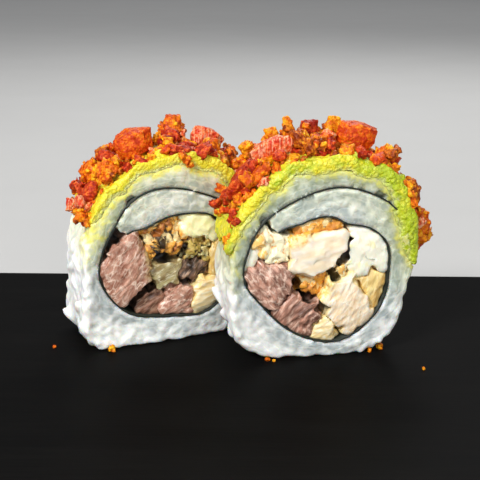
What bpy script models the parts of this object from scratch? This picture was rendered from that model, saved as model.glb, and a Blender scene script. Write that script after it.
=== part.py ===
"""Two cut pieces of uramaki roll standing on their sides on a small black wooden board.

Each piece is rolled inside out: a spiral of rice on a sheet of nori, round beef, chicken,
fried batter and cream cheese, with mashed avocado and bacon bits over its top.
Run it with: blender --background --python part.py
"""

import math
import random
from dataclasses import dataclass

import bmesh
import bpy
from mathutils import Matrix, Vector, noise
from mathutils.geometry import delaunay_2d_cdt

# Sizes are in millimetres and angles in degrees; MM turns them into Blender's metres.
MM = 0.001
SEED = 7
CLEARANCE = 0.3

# The board
BOARD_WIDTH = 170.0
BOARD_DEPTH = 130.0
BOARD_THICKNESS = 10.0
BOARD_CORNER = 6.0
BOARD_CORNER_STEPS = 5
BOARD_CHAMFER = 0.8
BOARD_CHAMFER_STEPS = 2

# What both rolls share
NORI_THICKNESS = 0.5
NORI_PROUD = 0.15
NORI_STEP = 8.0
NORI_RAGGED_STEP = 0.7
TABLE_STEP = 22.5
NOISE_RADIUS = 22.0
NOISE_SHIFT = 9.0
CUT_EDGE = 0.5
CUT_EDGE_DEPTH = 1.0
RICE_LUMP = 0.35
RICE_LUMP_SIZE = 3.0
FACE_RELIEF = 0.12
RIM_SAMPLES = 56
HOLE_STEP = 9.0
CAP_SPACING = 2.7
CAP_MARGIN = 0.8
WELD = 0.002

# The rice grains
GRAIN_HALF_SIZES = (3.1, 1.35, 1.25)
GRAIN_SIDES = 6
GRAIN_RINGS = 4
GRAIN_SINK = 0.35
GRAINS_ON_SIDE = 22
SIDE_GRAIN_END_ROOM = 12.0
SIDE_GRAIN_DEPTHS = (0.18, 0.82)
SIDE_GRAIN_STAGGER = 0.618
SIDE_GRAIN_LIFT = 0.1
SIDE_GRAIN_FLAT_BELOW = 0.5
GRAINS_ON_FACE = 11
CUT_GRAIN_HALF_DEPTH = 0.7
FACE_GRAIN_END_ROOM = 10.0
FACE_GRAIN_STRAY = 3.0
FACE_GRAIN_ROOM = 2.2
FACE_GRAIN_LIFT = 0.2
SPLAY_HEIGHT = 5.0
SPLAY_END = 8.0
SPLAY_FADE = 6.0

# The fillings
PIECE_SIDES = 14
PIECE_REACH = 1.28
MARCH = 0.1
MARCH_MARGIN = 3
PIECE_EDGE = 0.5
PIECE_EDGE_SHARE = 0.25
PIECE_EDGE_DEPTH = 0.9
PIECE_RELIEF = 0.05
PIECE_RELIEF_LENGTH = 4.0
PIECE_DOME = 0.08
BACK_PROUD_SHARE = 0.5

# The topping
AVOCADO_COLUMNS = 21
AVOCADO_LUMP = 0.55
AVOCADO_LUMP_SIZE = 3.6
AVOCADO_LUMP_SHIFT = Vector((0, 50, 0))
AVOCADO_THINNEST = 0.7
AVOCADO_GAP = CLEARANCE + RICE_LUMP
AVOCADO_END = 0.2
AVOCADO_EDGE_BACK = 2.0
AVOCADO_EDGE_FRONT = 2.2
AVOCADO_DEPTHS = (0.62, 0.36)
AVOCADO_LIP_DEPTH = 0.9
AVOCADO_LIP_RISE = 0.4
AVOCADO_LIP_TUCK = 0.3
CRUMBS = 28
CRUMB_HALF = 1.5
CRUMB_SIZES = (0.7, 1.2)
CRUMB_CRAG = (0.75, 1.2)
CRUMB_LIFT = 0.1
CRUMB_END_ROOM = 12.0
CRUMB_EDGE_ROOM = 2.2
CRUMB_BIT_ROOM = 1.4
BIT_SIDES = 9
BIT_SEAT = 0.65
BIT_CRAG = 0.15
BIT_REACH = 1.1
BIT_FOOT = 0.88
BIT_WAIST = 0.45
BIT_EDGE_ROOM = 0.5

COLOURS = {
    "board": (0.012, 0.012, 0.013),
    "rice": (0.80, 0.82, 0.76),
    "nori": (0.010, 0.014, 0.010),
    "beef": (0.36, 0.19, 0.15),
    "chicken": (0.86, 0.70, 0.46),
    "tempura": (0.90, 0.78, 0.58),
    "batter": (0.80, 0.36, 0.06),
    "cheese": (0.93, 0.88, 0.74),
    "mushroom": (0.30, 0.22, 0.10),
    "avocado": (0.74, 0.74, 0.12),
    "bacon": (0.62, 0.13, 0.03),
}
ROUGHNESS = {"board": 0.35, "nori": 0.6, "cheese": 0.35, "avocado": 0.4}
PLAIN_ROUGHNESS = 0.5


@dataclass(frozen=True)
class Filling:
    """One piece of filling: what it is, its centre on the cut face, its half sizes and its turn."""

    name: str
    stuff: str
    across: float
    up: float
    half_long: float
    half_wide: float
    turn: float = 0.0
    proud: float = 0.0


@dataclass(frozen=True)
class Bit:
    """One large bacon bit: where it lies on the topping, its half sizes round the roll and from front
    to back, its height, its turn, and how much of its width is left at its top."""

    angle: float
    depth: float
    half_long: float
    half_wide: float
    height: float
    turn: float = 0.0
    top: float = 0.72


@dataclass(frozen=True)
class Roll:
    """One cut piece. Its own frame has x across the cut face, z up, and y running back from the face.

    rim and nori are radii about the centre, one every TABLE_STEP degrees: rim goes counter-clockwise
    from the right, and nori clockwise from the inner end of the sheet.
    """

    name: str
    foot: tuple
    yaw: float
    length: float
    centre: tuple
    rim: tuple
    rim_limit: tuple
    flare: float
    nori_start: float
    nori: tuple
    avocado_span: tuple
    avocado_depth: tuple
    avocado_lip: tuple
    fillings: tuple
    bits: tuple

    def rim_radius(self, angle, depth):
        """Outer radius of the rice core, with its lumps, cut edges and rounder back."""
        radius = round_table(self.rim, angle)
        front, back = self.rim_limit
        radius = min(radius, front + (back - front) * depth / self.length)
        to_face = min(depth, self.length - depth)
        radius -= CUT_EDGE * max(0.0, 1.0 - to_face / CUT_EDGE_DEPTH)
        lump = noise.noise(self.lump_place(angle, depth, RICE_LUMP_SIZE))
        return radius + RICE_LUMP * lump

    def lump_place(self, angle, depth, size):
        """A point of the noise field that goes with this place on the side of the roll."""
        a = math.radians(angle)
        reach = NOISE_RADIUS / size
        return Vector((reach * math.cos(a), depth / size, reach * math.sin(a) + NOISE_SHIFT * self.yaw))

    def nori_radius(self, turned):
        """Radius of the middle of the nori, turned degrees clockwise from its inner end."""
        return open_table(self.nori, turned / TABLE_STEP)

    def nori_turn(self):
        """How far the nori turns, in degrees."""
        return (len(self.nori) - 1) * TABLE_STEP

    def filling_radius(self, angle):
        """How far out a filling may reach at this angle."""
        turned = (self.nori_start - angle) % 360.0
        return self.nori_radius(turned) - NORI_THICKNESS / 2 - CLEARANCE

    def point(self, angle, radius, depth):
        """A point in the roll's own frame, never lower than what it stands on."""
        a = math.radians(angle)
        return Vector((
            self.centre[0] + radius * math.cos(a),
            depth,
            max(0.0, self.centre[1] + radius * math.sin(a)),
        ))

    def bare_rim(self, angle):
        """Outer radius of the rice under the topping, without its lumps."""
        return round_table(self.rim, angle)

    def avocado_thickness(self, angle, depth):
        """Thickness of the mash: full over the top, thin at its two ends."""
        low, high = self.avocado_span
        share = (angle - low) / (high - low)
        full = open_table(self.avocado_depth, share * (len(self.avocado_depth) - 1))
        lump = noise.noise(self.lump_place(angle, depth, AVOCADO_LUMP_SIZE) + AVOCADO_LUMP_SHIFT)
        return max(AVOCADO_THINNEST, full + AVOCADO_LUMP * lump)

    def topping_radius(self, angle, depth):
        """Outer radius of the avocado."""
        return self.bare_rim(angle) + AVOCADO_GAP + self.avocado_thickness(angle, depth)


RIGHT = Roll(
    name="right",
    foot=(15.4, -1.0),
    yaw=12.0,
    length=19.0,
    centre=(4.7, 24.0),
    rim=(22.3, 22.6, 24.2, 22.6, 21.4, 22.2, 21.6, 21.6, 22.3, 24.4, 28.4, 25.8, 24.4, 25.8, 26.1, 22.9),
    rim_limit=(28.8, 24.9),
    flare=0.5,
    nori_start=146.0,
    nori=(13.5, 11.2, 11.0, 11.1, 10.7, 13.9, 16.5, 16.9, 18.8, 20.1, 21.0, 19.6, 18.4, 18.2, 19.8, 18.7,
          18.0, 16.9, 17.1, 18.4, 19.7, 21.6),
    avocado_span=(-6.0, 172.0),
    avocado_depth=(1.0, 2.2, 1.9, 2.9, 3.4, 3.1, 2.6, 2.2, 1.6, 0.9),
    avocado_lip=(0.6, 3.4, 3.0, 1.2, 0.6, 1.0, 0.8, 1.4, 1.0, 0.6),
    fillings=(
        Filling("beef_side", "beef", -8.5, 18.6, 6.6, 6.6, -15.0, 0.2),
        Filling("beef_low", "beef", -0.9, 10.8, 6.6, 5.2, -38.0, 0.3),
        Filling("fried_fillet", "tempura", 2.6, 26.4, 7.6, 5.8, 14.0, 0.4),
        Filling("crust_top", "batter", 3.4, 32.5, 6.4, 1.8, 6.0, -0.3),
        Filling("crust_side", "tempura", -7.2, 27.6, 4.4, 4.0, -40.0, 0.1),
        Filling("cheese_bit", "cheese", -12.6, 25.6, 1.7, 3.0, -15.0, -0.6),
        Filling("cheese", "cheese", 15.8, 26.2, 5.2, 6.6, 0.0, 0.0),
        Filling("chicken_side", "chicken", 17.4, 16.6, 3.0, 5.6, 12.0, -0.2),
        Filling("chicken_low", "chicken", 10.4, 13.2, 5.8, 7.4, 12.0, 0.4),
        Filling("chicken_bottom", "chicken", 5.6, 6.8, 4.4, 2.9, 30.0, 0.1),
        Filling("crust_middle", "batter", 2.2, 18.2, 3.4, 2.6, 25.0, -0.9),
        Filling("crumb", "tempura", 9.0, 21.4, 2.2, 1.7, 20.0, -0.2),
    ),
    bits=(
        Bit(70.0, 10.6, 5.4, 3.3, 6.4, 0.0, 0.9),
        Bit(78.0, 16.4, 2.6, 2.1, 6.6, 0.0, 0.6),
        Bit(90.0, 16.0, 2.8, 2.3, 5.7, 0.0, 0.8),
        Bit(100.0, 16.2, 2.1, 2.2, 7.2, 0.0, 0.5),
        Bit(108.0, 16.2, 2.1, 2.0, 5.4),
        Bit(97.5, 10.0, 1.6, 2.6, 4.2),
        Bit(92.0, 4.8, 2.8, 2.6, 3.3),
        Bit(84.0, 9.5, 2.1, 2.0, 2.5),
        Bit(113.0, 10.8, 6.6, 2.1, 4.4, 16.0, 0.9),
        Bit(122.0, 15.8, 2.1, 1.9, 5.4),
        Bit(133.5, 8.0, 6.2, 2.0, 3.6, -4.0, 0.85),
        Bit(125.5, 2.9, 4.3, 1.7, 2.5, 0.0, 0.8),
        Bit(112.0, 4.4, 2.0, 1.6, 2.2),
        Bit(54.0, 7.4, 2.5, 3.6, 4.0),
        Bit(33.0, 6.6, 2.3, 3.0, 3.4),
        Bit(14.0, 6.6, 4.3, 3.2, 3.9, 12.0),
    ),
)
LEFT = Roll(
    name="left",
    foot=(-17.5, 10.5),
    yaw=22.0,
    length=19.0,
    centre=(-1.0, 22.0),
    rim=(20.6, 21.5, 23.8, 23.6, 22.2, 21.2, 20.6, 20.2, 20.5, 22.2, 28.6, 24.2, 22.5, 24.2, 27.4, 22.8),
    rim_limit=(29.0, 28.0),
    flare=1.6,
    nori_start=147.0,
    nori=(11.8, 9.2, 9.2, 10.3, 12.3, 15.8, 16.3, 16.6, 19.2, 19.3, 16.6, 16.0, 17.0, 17.3, 17.5, 16.2,
          15.5, 16.7, 17.3, 17.3, 18.0, 20.2),
    avocado_span=(4.0, 152.0),
    avocado_depth=(1.0, 1.8, 2.4, 2.8, 2.6, 2.2, 1.9, 1.5, 1.0),
    avocado_lip=(0.6, 0.8, 0.9, 0.8, 1.0, 0.8, 1.2, 1.4, 0.8),
    fillings=(
        Filling("beef_side", "beef", -11.0, 18.6, 6.2, 8.6, -12.0, 0.3),
        Filling("crust_top", "batter", -2.2, 26.0, 5.4, 4.2, 30.0, -0.7),
        Filling("cheese", "cheese", 9.4, 28.6, 6.4, 3.4, 6.0, 0.0),
        Filling("mushroom", "mushroom", 8.2, 22.4, 4.4, 2.6, -8.0, -0.8),
        Filling("chicken_middle", "chicken", -1.2, 17.2, 4.6, 3.3, 18.0, 0.1),
        Filling("beef_strands", "beef", 6.6, 17.2, 4.0, 2.8, 30.0, -0.6),
        Filling("beef_low", "beef", -5.6, 9.8, 4.6, 3.4, 25.0, -0.5),
        Filling("beef_bottom", "beef", 2.2, 9.8, 4.8, 3.8, 35.0, 0.1),
        Filling("chicken_low", "chicken", 10.6, 10.8, 4.4, 5.6, -15.0, 0.4),
        Filling("chicken_side", "chicken", 13.4, 20.0, 2.8, 4.8, 0.0, 0.0),
    ),
    bits=(
        Bit(101.0, 8.6, 4.9, 3.5, 6.2, 0.0, 0.85),
        Bit(78.0, 14.0, 3.3, 2.9, 6.8, 0.0, 0.5),
        Bit(84.0, 8.2, 2.6, 2.4, 2.6),
        Bit(59.0, 13.6, 4.4, 2.7, 5.5, 0.0, 0.9),
        Bit(44.0, 14.6, 2.4, 2.7, 5.6),
        Bit(60.0, 7.8, 2.1, 2.3, 3.0),
        Bit(48.0, 8.0, 2.3, 2.2, 3.8),
        Bit(45.0, 3.8, 2.2, 1.8, 2.8),
        Bit(116.0, 14.0, 2.4, 2.6, 3.9, 0.0, 0.6),
        Bit(128.0, 11.0, 2.9, 3.0, 4.5),
        Bit(136.0, 4.4, 2.8, 2.0, 2.7),
        Bit(145.0, 7.6, 1.8, 2.9, 2.4),
        Bit(151.0, 3.0, 1.6, 1.7, 2.0),
        Bit(120.0, 3.4, 2.6, 1.9, 3.0),
    ),
)


def between(values, whole, part):
    """Catmull-Rom value between the middle two of four neighbours, which values(n) gives."""
    a, b, c, d = (values(whole + n) for n in (-1, 0, 1, 2))
    curve = 2 * b + (c - a) * part
    curve += (2 * a - 5 * b + 4 * c - d) * part ** 2
    curve += (3 * b - a - 3 * c + d) * part ** 3
    return curve / 2


def round_table(table, angle):
    """Reads a table of values that goes once round, one every TABLE_STEP degrees."""
    place = (angle % 360.0) / TABLE_STEP
    whole = math.floor(place)
    return between(lambda n: table[n % len(table)], whole, place - whole)


def open_table(table, place):
    """Reads a table of values from its first, at place 0, to its last."""
    last = len(table) - 1
    whole = min(last - 1, max(0, math.floor(place)))
    return between(lambda n: table[min(last, max(0, n))], whole, place - whole)


def make_material(stuff):
    """A plain Principled material for one kind of food or for the board."""
    material = bpy.data.materials.get(stuff) or bpy.data.materials.new(stuff)
    material.use_nodes = True
    shader = material.node_tree.nodes["Principled BSDF"]
    shader.inputs["Base Color"].default_value = (*COLOURS[stuff], 1.0)
    shader.inputs["Roughness"].default_value = ROUGHNESS.get(stuff, PLAIN_ROUGHNESS)
    shader.inputs["Metallic"].default_value = 0.0
    return material


def add_object(name, stuff, mesh, parent=None):
    """Adds a mesh as a named object with its material, under its roll's empty."""
    thing = bpy.data.objects.new(name, mesh)
    mesh.materials.append(make_material(stuff))
    bpy.context.scene.collection.objects.link(thing)
    thing.parent = parent
    return thing


def mesh_from(points, faces):
    """A mesh in metres from points in millimetres, with its faces turned outwards."""
    body = bmesh.new()
    corners = [body.verts.new(Vector(p) * MM) for p in points]
    for face in faces:
        body.faces.new([corners[n] for n in face])
    bmesh.ops.recalc_face_normals(body, faces=body.faces)
    bmesh.ops.triangulate(body, faces=body.faces)
    mesh = bpy.data.meshes.new("shape")
    body.to_mesh(mesh)
    body.free()
    return mesh


def grid_faces(rows, columns, closed):
    """Quads of a grid whose points run row by row; closed joins the last column to the first."""
    steps = columns if closed else columns - 1
    return [
        (r * columns + c, r * columns + (c + 1) % columns,
         (r + 1) * columns + (c + 1) % columns, (r + 1) * columns + c)
        for r in range(rows - 1)
        for c in range(steps)
    ]


def shifted(faces, by):
    """The same faces, by points further on in the list."""
    return [tuple(n + by for n in face) for face in faces]


def unite(thing, extras):
    """Fuses the extra objects onto a thing with one Boolean union, then removes them."""
    group = bpy.data.collections.new("extras")
    bpy.context.scene.collection.children.link(group)
    for extra in extras:
        group.objects.link(extra)
    union = thing.modifiers.new("fuse", "BOOLEAN")
    union.operation = "UNION"
    union.operand_type = "COLLECTION"
    union.collection = group
    union.solver = "MANIFOLD"
    graph = bpy.context.evaluated_depsgraph_get()
    graph.update()
    fused = bpy.data.meshes.new_from_object(thing.evaluated_get(graph))
    thing.modifiers.remove(union)
    thing.data = fused
    for extra in extras:
        bpy.data.objects.remove(extra)
    bpy.data.collections.remove(group)
    close_up(fused)


def close_up(mesh):
    """Drops the loose scraps and sealed hollows that a union leaves, keeping the one outer shell."""
    body = bmesh.new()
    body.from_mesh(mesh)
    bmesh.ops.remove_doubles(body, verts=body.verts, dist=WELD * MM)
    bmesh.ops.triangulate(body, faces=body.faces)
    body.verts.ensure_lookup_table()
    unseen = set(body.verts)
    shells = []
    while unseen:
        shell, front = set(), [unseen.pop()]
        while front:
            vert = front.pop()
            shell.add(vert)
            for edge in vert.link_edges:
                other = edge.other_vert(vert)
                if other in unseen:
                    unseen.discard(other)
                    front.append(other)
        shells.append(shell)
    keep = max(shells, key=len)
    bmesh.ops.delete(body, geom=[v for v in body.verts if v not in keep], context="VERTS")
    body.to_mesh(mesh)
    body.free()


def spindle(name, half_sizes, matrix, parent):
    """A rice grain: a stretched ball with few sides."""
    body = bmesh.new()
    bmesh.ops.create_uvsphere(body, u_segments=GRAIN_SIDES, v_segments=GRAIN_RINGS, radius=1.0)
    bmesh.ops.triangulate(body, faces=body.faces)
    bmesh.ops.rotate(body, matrix=Matrix.Rotation(math.radians(90), 3, "Y"), verts=body.verts)
    bmesh.ops.scale(body, vec=Vector(half_sizes) * MM, verts=body.verts)
    bmesh.ops.transform(body, matrix=matrix, verts=body.verts)
    mesh = bpy.data.meshes.new(name)
    body.to_mesh(mesh)
    body.free()
    return add_object(name, "rice", mesh, parent)


def crag(name, stuff, half_size, matrix, parent, draw):
    """A crumb: a small ball with its corners pushed in and out."""
    body = bmesh.new()
    bmesh.ops.create_icosphere(body, subdivisions=1, radius=1.0)
    for vert in body.verts:
        vert.co *= half_size * MM * draw.uniform(*CRUMB_CRAG)
    bmesh.ops.transform(body, matrix=matrix, verts=body.verts)
    mesh = bpy.data.meshes.new(name)
    body.to_mesh(mesh)
    body.free()
    return add_object(name, stuff, mesh, parent)


def frame_at(point, along, out):
    """A matrix that puts x along a direction and z outwards at a point given in millimetres."""
    z = out.normalized()
    x = (along - z * along.dot(z)).normalized()
    turn = Matrix((x, z.cross(x), z)).transposed().to_4x4()
    return Matrix.Translation(Vector(point) * MM) @ turn


def hole_outline(roll):
    """The edge of the rice round its hollow: outside the nori all the way, then back inside its last turn."""
    clear = NORI_THICKNESS / 2 + CLEARANCE
    whole = roll.nori_turn()
    steps = round(whole / HOLE_STEP)
    outside = [
        (roll.nori_start - whole * n / steps, roll.nori_radius(whole * n / steps) + clear)
        for n in range(steps + 1)
    ]
    end_angle = roll.nori_start - whole - math.degrees(clear / roll.nori_radius(whole))
    inside = [(end_angle, roll.nori_radius(whole))]
    back_to = 360.0 + 0.5 * HOLE_STEP
    turns_back = math.floor((whole - back_to) / HOLE_STEP)
    for n in range(turns_back + 1):
        turned = whole - n * HOLE_STEP
        inside.append((roll.nori_start - turned, roll.nori_radius(turned) - clear))
    return outside + inside


def flat(roll, outline):
    """An outline of (angle, radius) as points across and up."""
    points = [roll.point(angle, radius, 0.0) for angle, radius in outline]
    return [(p.x, p.z) for p in points]


def inside(loop, x, z):
    """Whether a point lies in a closed loop, by counting the edges that a ray crosses."""
    odd = False
    for (x1, z1), (x2, z2) in zip(loop, loop[1:] + loop[:1]):
        if (z1 > z) != (z2 > z) and x < x1 + (x2 - x1) * (z - z1) / (z2 - z1):
            odd = not odd
    return odd


def to_edge(loop, x, z):
    """Distance from a point to the nearest edge of a loop."""
    spot = Vector((x, z))
    found = []
    for start, end in zip(loop, loop[1:] + loop[:1]):
        start, end = Vector(start), Vector(end)
        along = end - start
        share = (spot - start).dot(along) / max(along.length_squared, 1e-9)
        found.append((spot - start - along * min(1.0, max(0.0, share))).length)
    return min(found)


def splay(roll, spot):
    """Moves a point of the cut face forward where the rice spreads at its foot."""
    low = max(0.0, 1.0 - spot.z / SPLAY_HEIGHT)
    clear = min(1.0, max(0.0, (SPLAY_END - spot.x) / SPLAY_FADE))
    return Vector((spot.x, spot.y - roll.flare * low * clear, spot.z))


def cap_points(outer, hole):
    """Points spread over the rice of a cut face, in a staggered grid clear of its edges."""
    found = []
    low_x, high_x = min(p[0] for p in outer), max(p[0] for p in outer)
    high_z = max(p[1] for p in outer)
    rows = round(high_z / CAP_SPACING)
    for row in range(rows + 1):
        z = row * CAP_SPACING
        x = low_x + (row % 2) * CAP_SPACING / 2
        while x < high_x:
            on_rice = inside(outer, x, z) and not inside(hole, x, z)
            if on_rice and min(to_edge(outer, x, z), to_edge(hole, x, z)) > CAP_MARGIN:
                found.append((x, z))
            x += CAP_SPACING
    return found


def cap_triangles(outer, hole, loose):
    """Triangles over the rice of a cut face, by the numbers of the points outer, hole and loose."""
    points = [Vector(p) for p in outer + hole + loose]
    ring = len(outer)
    edges = [(n, (n + 1) % ring) for n in range(ring)]
    edges += [(ring + n, ring + (n + 1) % len(hole)) for n in range(len(hole))]
    corners, _, faces, origins, _, _ = delaunay_2d_cdt(points, edges, [], 1, 1e-6)
    number = [found[0] for found in origins]
    kept = []
    for face in faces:
        x = sum(corners[n].x for n in face) / 3
        z = sum(corners[n].y for n in face) / 3
        if not inside(hole, x, z) and inside(outer, x, z):
            kept.append([number[n] for n in face])
    return kept


def make_rice(roll, holder, draw):
    """The spiral of rice: a lumpy core with a hollow for the nori and fillings, and grains fused on."""
    edge, third = CUT_EDGE_DEPTH, roll.length / 3
    depths = [0.0, edge, third, 2 * third, roll.length - edge, roll.length]
    angles = [360.0 * n / RIM_SAMPLES for n in range(RIM_SAMPLES)]
    hole = hole_outline(roll)
    points = [roll.point(a, roll.rim_radius(a, d), d) for d in depths for a in angles]
    points[:RIM_SAMPLES] = [splay(roll, spot) for spot in points[:RIM_SAMPLES]]
    faces = grid_faces(len(depths), RIM_SAMPLES, True)
    hole_from = len(points)
    points += [roll.point(a, r, d) for d in (0.0, roll.length) for a, r in hole]
    faces += shifted(grid_faces(2, len(hole), True), hole_from)
    for depth, rim_from, edge_from in (
        (0.0, 0, hole_from),
        (roll.length, (len(depths) - 1) * RIM_SAMPLES, hole_from + len(hole)),
    ):
        outer = [(points[rim_from + n].x, points[rim_from + n].z) for n in range(RIM_SAMPLES)]
        loop = flat(roll, hole)
        loose = cap_points(outer, loop)
        loose_from = len(points)
        for x, z in loose:
            relief = FACE_RELIEF * noise.noise(Vector((x, z, depth)) / CAP_SPACING)
            spot = Vector((x, depth + relief, z))
            points.append(spot if depth else splay(roll, spot))
        numbers = [rim_from + n for n in range(RIM_SAMPLES)]
        numbers += [edge_from + n for n in range(len(hole))]
        numbers += [loose_from + n for n in range(len(loose))]
        faces += [tuple(numbers[n] for n in face) for face in cap_triangles(outer, loop, loose)]
    core = add_object(f"{roll.name}_rice", "rice", mesh_from(points, faces), holder)
    unite(core, side_grains(roll, holder, draw) + face_grains(roll, holder, draw))


def side_grains(roll, holder, draw):
    """Grains half sunk in the side of the core, spread evenly below the topping."""
    low, high = roll.avocado_span
    room = 360.0 - (high - low) - 2 * SIDE_GRAIN_END_ROOM
    first, last = SIDE_GRAIN_DEPTHS
    grains = []
    for n in range(GRAINS_ON_SIDE):
        angle = high + SIDE_GRAIN_END_ROOM + room * (n + 0.5) / GRAINS_ON_SIDE
        depth = roll.length * (first + (last - first) * ((n * SIDE_GRAIN_STAGGER) % 1.0))
        centre = roll.point(angle, roll.rim_radius(angle, depth) - GRAIN_SINK, depth)
        if centre.z < GRAIN_HALF_SIZES[2] + SIDE_GRAIN_LIFT:
            continue
        a = math.radians(angle)
        out = Vector((math.cos(a), 0, math.sin(a)))
        turn = draw.uniform(0, math.pi)
        along = Vector((-math.sin(a) * math.cos(turn), math.sin(turn), math.cos(a) * math.cos(turn)))
        if centre.z < GRAIN_HALF_SIZES[0] + SIDE_GRAIN_FLAT_BELOW:
            along = Vector((0, 1, 0))
        grains.append(spindle(f"side_grain_{n}", GRAIN_HALF_SIZES, frame_at(centre, along, out), holder))
    return grains


def face_grains(roll, holder, draw):
    """Cut grains that stand a little out of both faces, along the ring of rice."""
    half_sizes = (GRAIN_HALF_SIZES[0], GRAIN_HALF_SIZES[1], CUT_GRAIN_HALF_DEPTH)
    low, high = roll.avocado_span
    room = 360.0 - (high - low) - 2 * FACE_GRAIN_END_ROOM
    grains = []
    for n in range(GRAINS_ON_FACE):
        angle = high + FACE_GRAIN_END_ROOM + room * (n + 0.5) / GRAINS_ON_FACE
        angle += draw.uniform(-FACE_GRAIN_STRAY, FACE_GRAIN_STRAY)
        inner = roll.filling_radius(angle) + NORI_THICKNESS + 2 * CLEARANCE
        radius = (inner + roll.rim_radius(angle, 0.0)) / 2
        if roll.rim_radius(angle, 0.0) - inner < FACE_GRAIN_ROOM * GRAIN_HALF_SIZES[1]:
            continue
        front, back = (GRAIN_SINK, Vector((0, -1, 0))), (roll.length - GRAIN_SINK, Vector((0, 1, 0)))
        for depth, out in (front, back):
            centre = roll.point(angle, radius, depth)
            if centre.z < GRAIN_HALF_SIZES[1] + FACE_GRAIN_LIFT:
                continue
            a = math.radians(angle)
            along = Vector((-math.sin(a), 0, math.cos(a)))
            grains.append(spindle(f"face_grain_{n}", half_sizes, frame_at(centre, along, out), holder))
    return grains


def make_nori(roll, holder):
    """The sheet of nori, a thin strip that spirals between the rice and the fillings."""
    whole = roll.nori_turn()
    steps = round(whole / NORI_STEP)
    half = NORI_THICKNESS / 2
    points = []
    for n in range(steps + 1):
        turned = whole * n / steps
        angle, radius = roll.nori_start - turned, roll.nori_radius(turned)
        ragged = NORI_PROUD * (1 + noise.noise(Vector((n * NORI_RAGGED_STEP, 0, roll.yaw))))
        for depth in (-ragged, roll.length + ragged):
            for side in (-half, half):
                points.append(roll.point(angle, radius + side, depth))
    faces = []
    for n in range(steps):
        a, b = 4 * n, 4 * (n + 1)
        for p, q in ((0, 1), (1, 3), (3, 2), (2, 0)):
            faces.append((a + p, a + q, b + q, b + p))
    last = 4 * steps
    faces += [(0, 1, 3, 2), (last, last + 1, last + 3, last + 2)]
    add_object(f"{roll.name}_nori", "nori", mesh_from(points, faces), holder)


def share_of(piece, over, up):
    """How far from a piece's middle a place is, as a share of the piece's own half sizes."""
    turn = math.radians(piece.turn)
    along = over * math.cos(turn) + up * math.sin(turn)
    aside = up * math.cos(turn) - over * math.sin(turn)
    return math.hypot(along / piece.half_long, aside / piece.half_wide)


def reaches(sides, holds):
    """How far a piece reaches each way: outwards from its middle for as long as holds is true."""
    found = []
    for n in range(sides):
        a = 2 * math.pi * n / sides
        reach = MARCH
        while holds(reach * math.cos(a), reach * math.sin(a)):
            reach += MARCH
        found.append((a, max(MARCH_MARGIN * MARCH, reach - MARCH_MARGIN * MARCH)))
    return found


def filling_outline(roll, filling):
    """Directions and reaches of a filling's edge: inside the nori, and nearer to it than to any other."""
    others = [f for f in roll.fillings if f is not filling]

    def holds(dx, dz):
        x, z = filling.across + dx, filling.up + dz
        share = share_of(filling, dx, dz)
        if any(share_of(f, x - f.across, z - f.up) < share for f in others):
            return False
        out_x, out_z = x - roll.centre[0], z - roll.centre[1]
        angle = math.degrees(math.atan2(out_z, out_x))
        return share < PIECE_REACH and math.hypot(out_x, out_z) < roll.filling_radius(angle)

    return reaches(PIECE_SIDES, holds)


def make_filling(roll, filling, holder):
    """One piece of filling, which runs right through the roll with softly rounded ends."""
    outline = filling_outline(roll, filling)
    small = min(filling.half_long, filling.half_wide)
    edge = min(PIECE_EDGE, PIECE_EDGE_SHARE * small)
    front, back = -filling.proud, roll.length + BACK_PROUD_SHARE * filling.proud
    depths = (
        (front, edge),
        (front + PIECE_EDGE_DEPTH, 0.0),
        (back - PIECE_EDGE_DEPTH, 0.0),
        (back, edge),
    )
    points = []
    for depth, inset in depths:
        for a, reach in outline:
            place = Vector((math.cos(a), depth / PIECE_RELIEF_LENGTH, math.sin(a)))
            place += Vector((filling.across, 0, filling.up))
            held = reach * (1 - PIECE_RELIEF * (1 + noise.noise(place))) - inset
            points.append((filling.across + held * math.cos(a), depth, filling.up + held * math.sin(a)))
    faces = grid_faces(len(depths), PIECE_SIDES, True)
    dome = PIECE_DOME * small
    for ring, depth in ((0, front - dome), (len(depths) - 1, back + dome)):
        faces += fan(ring * PIECE_SIDES, PIECE_SIDES, len(points))
        points.append((filling.across, depth, filling.up))
    add_object(f"{roll.name}_{filling.name}", filling.stuff, mesh_from(points, faces), holder)


def fan(first, sides, middle):
    """Triangles from a ring of points to one point in its middle."""
    return [(first + n, first + (n + 1) % sides, middle) for n in range(sides)]


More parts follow.
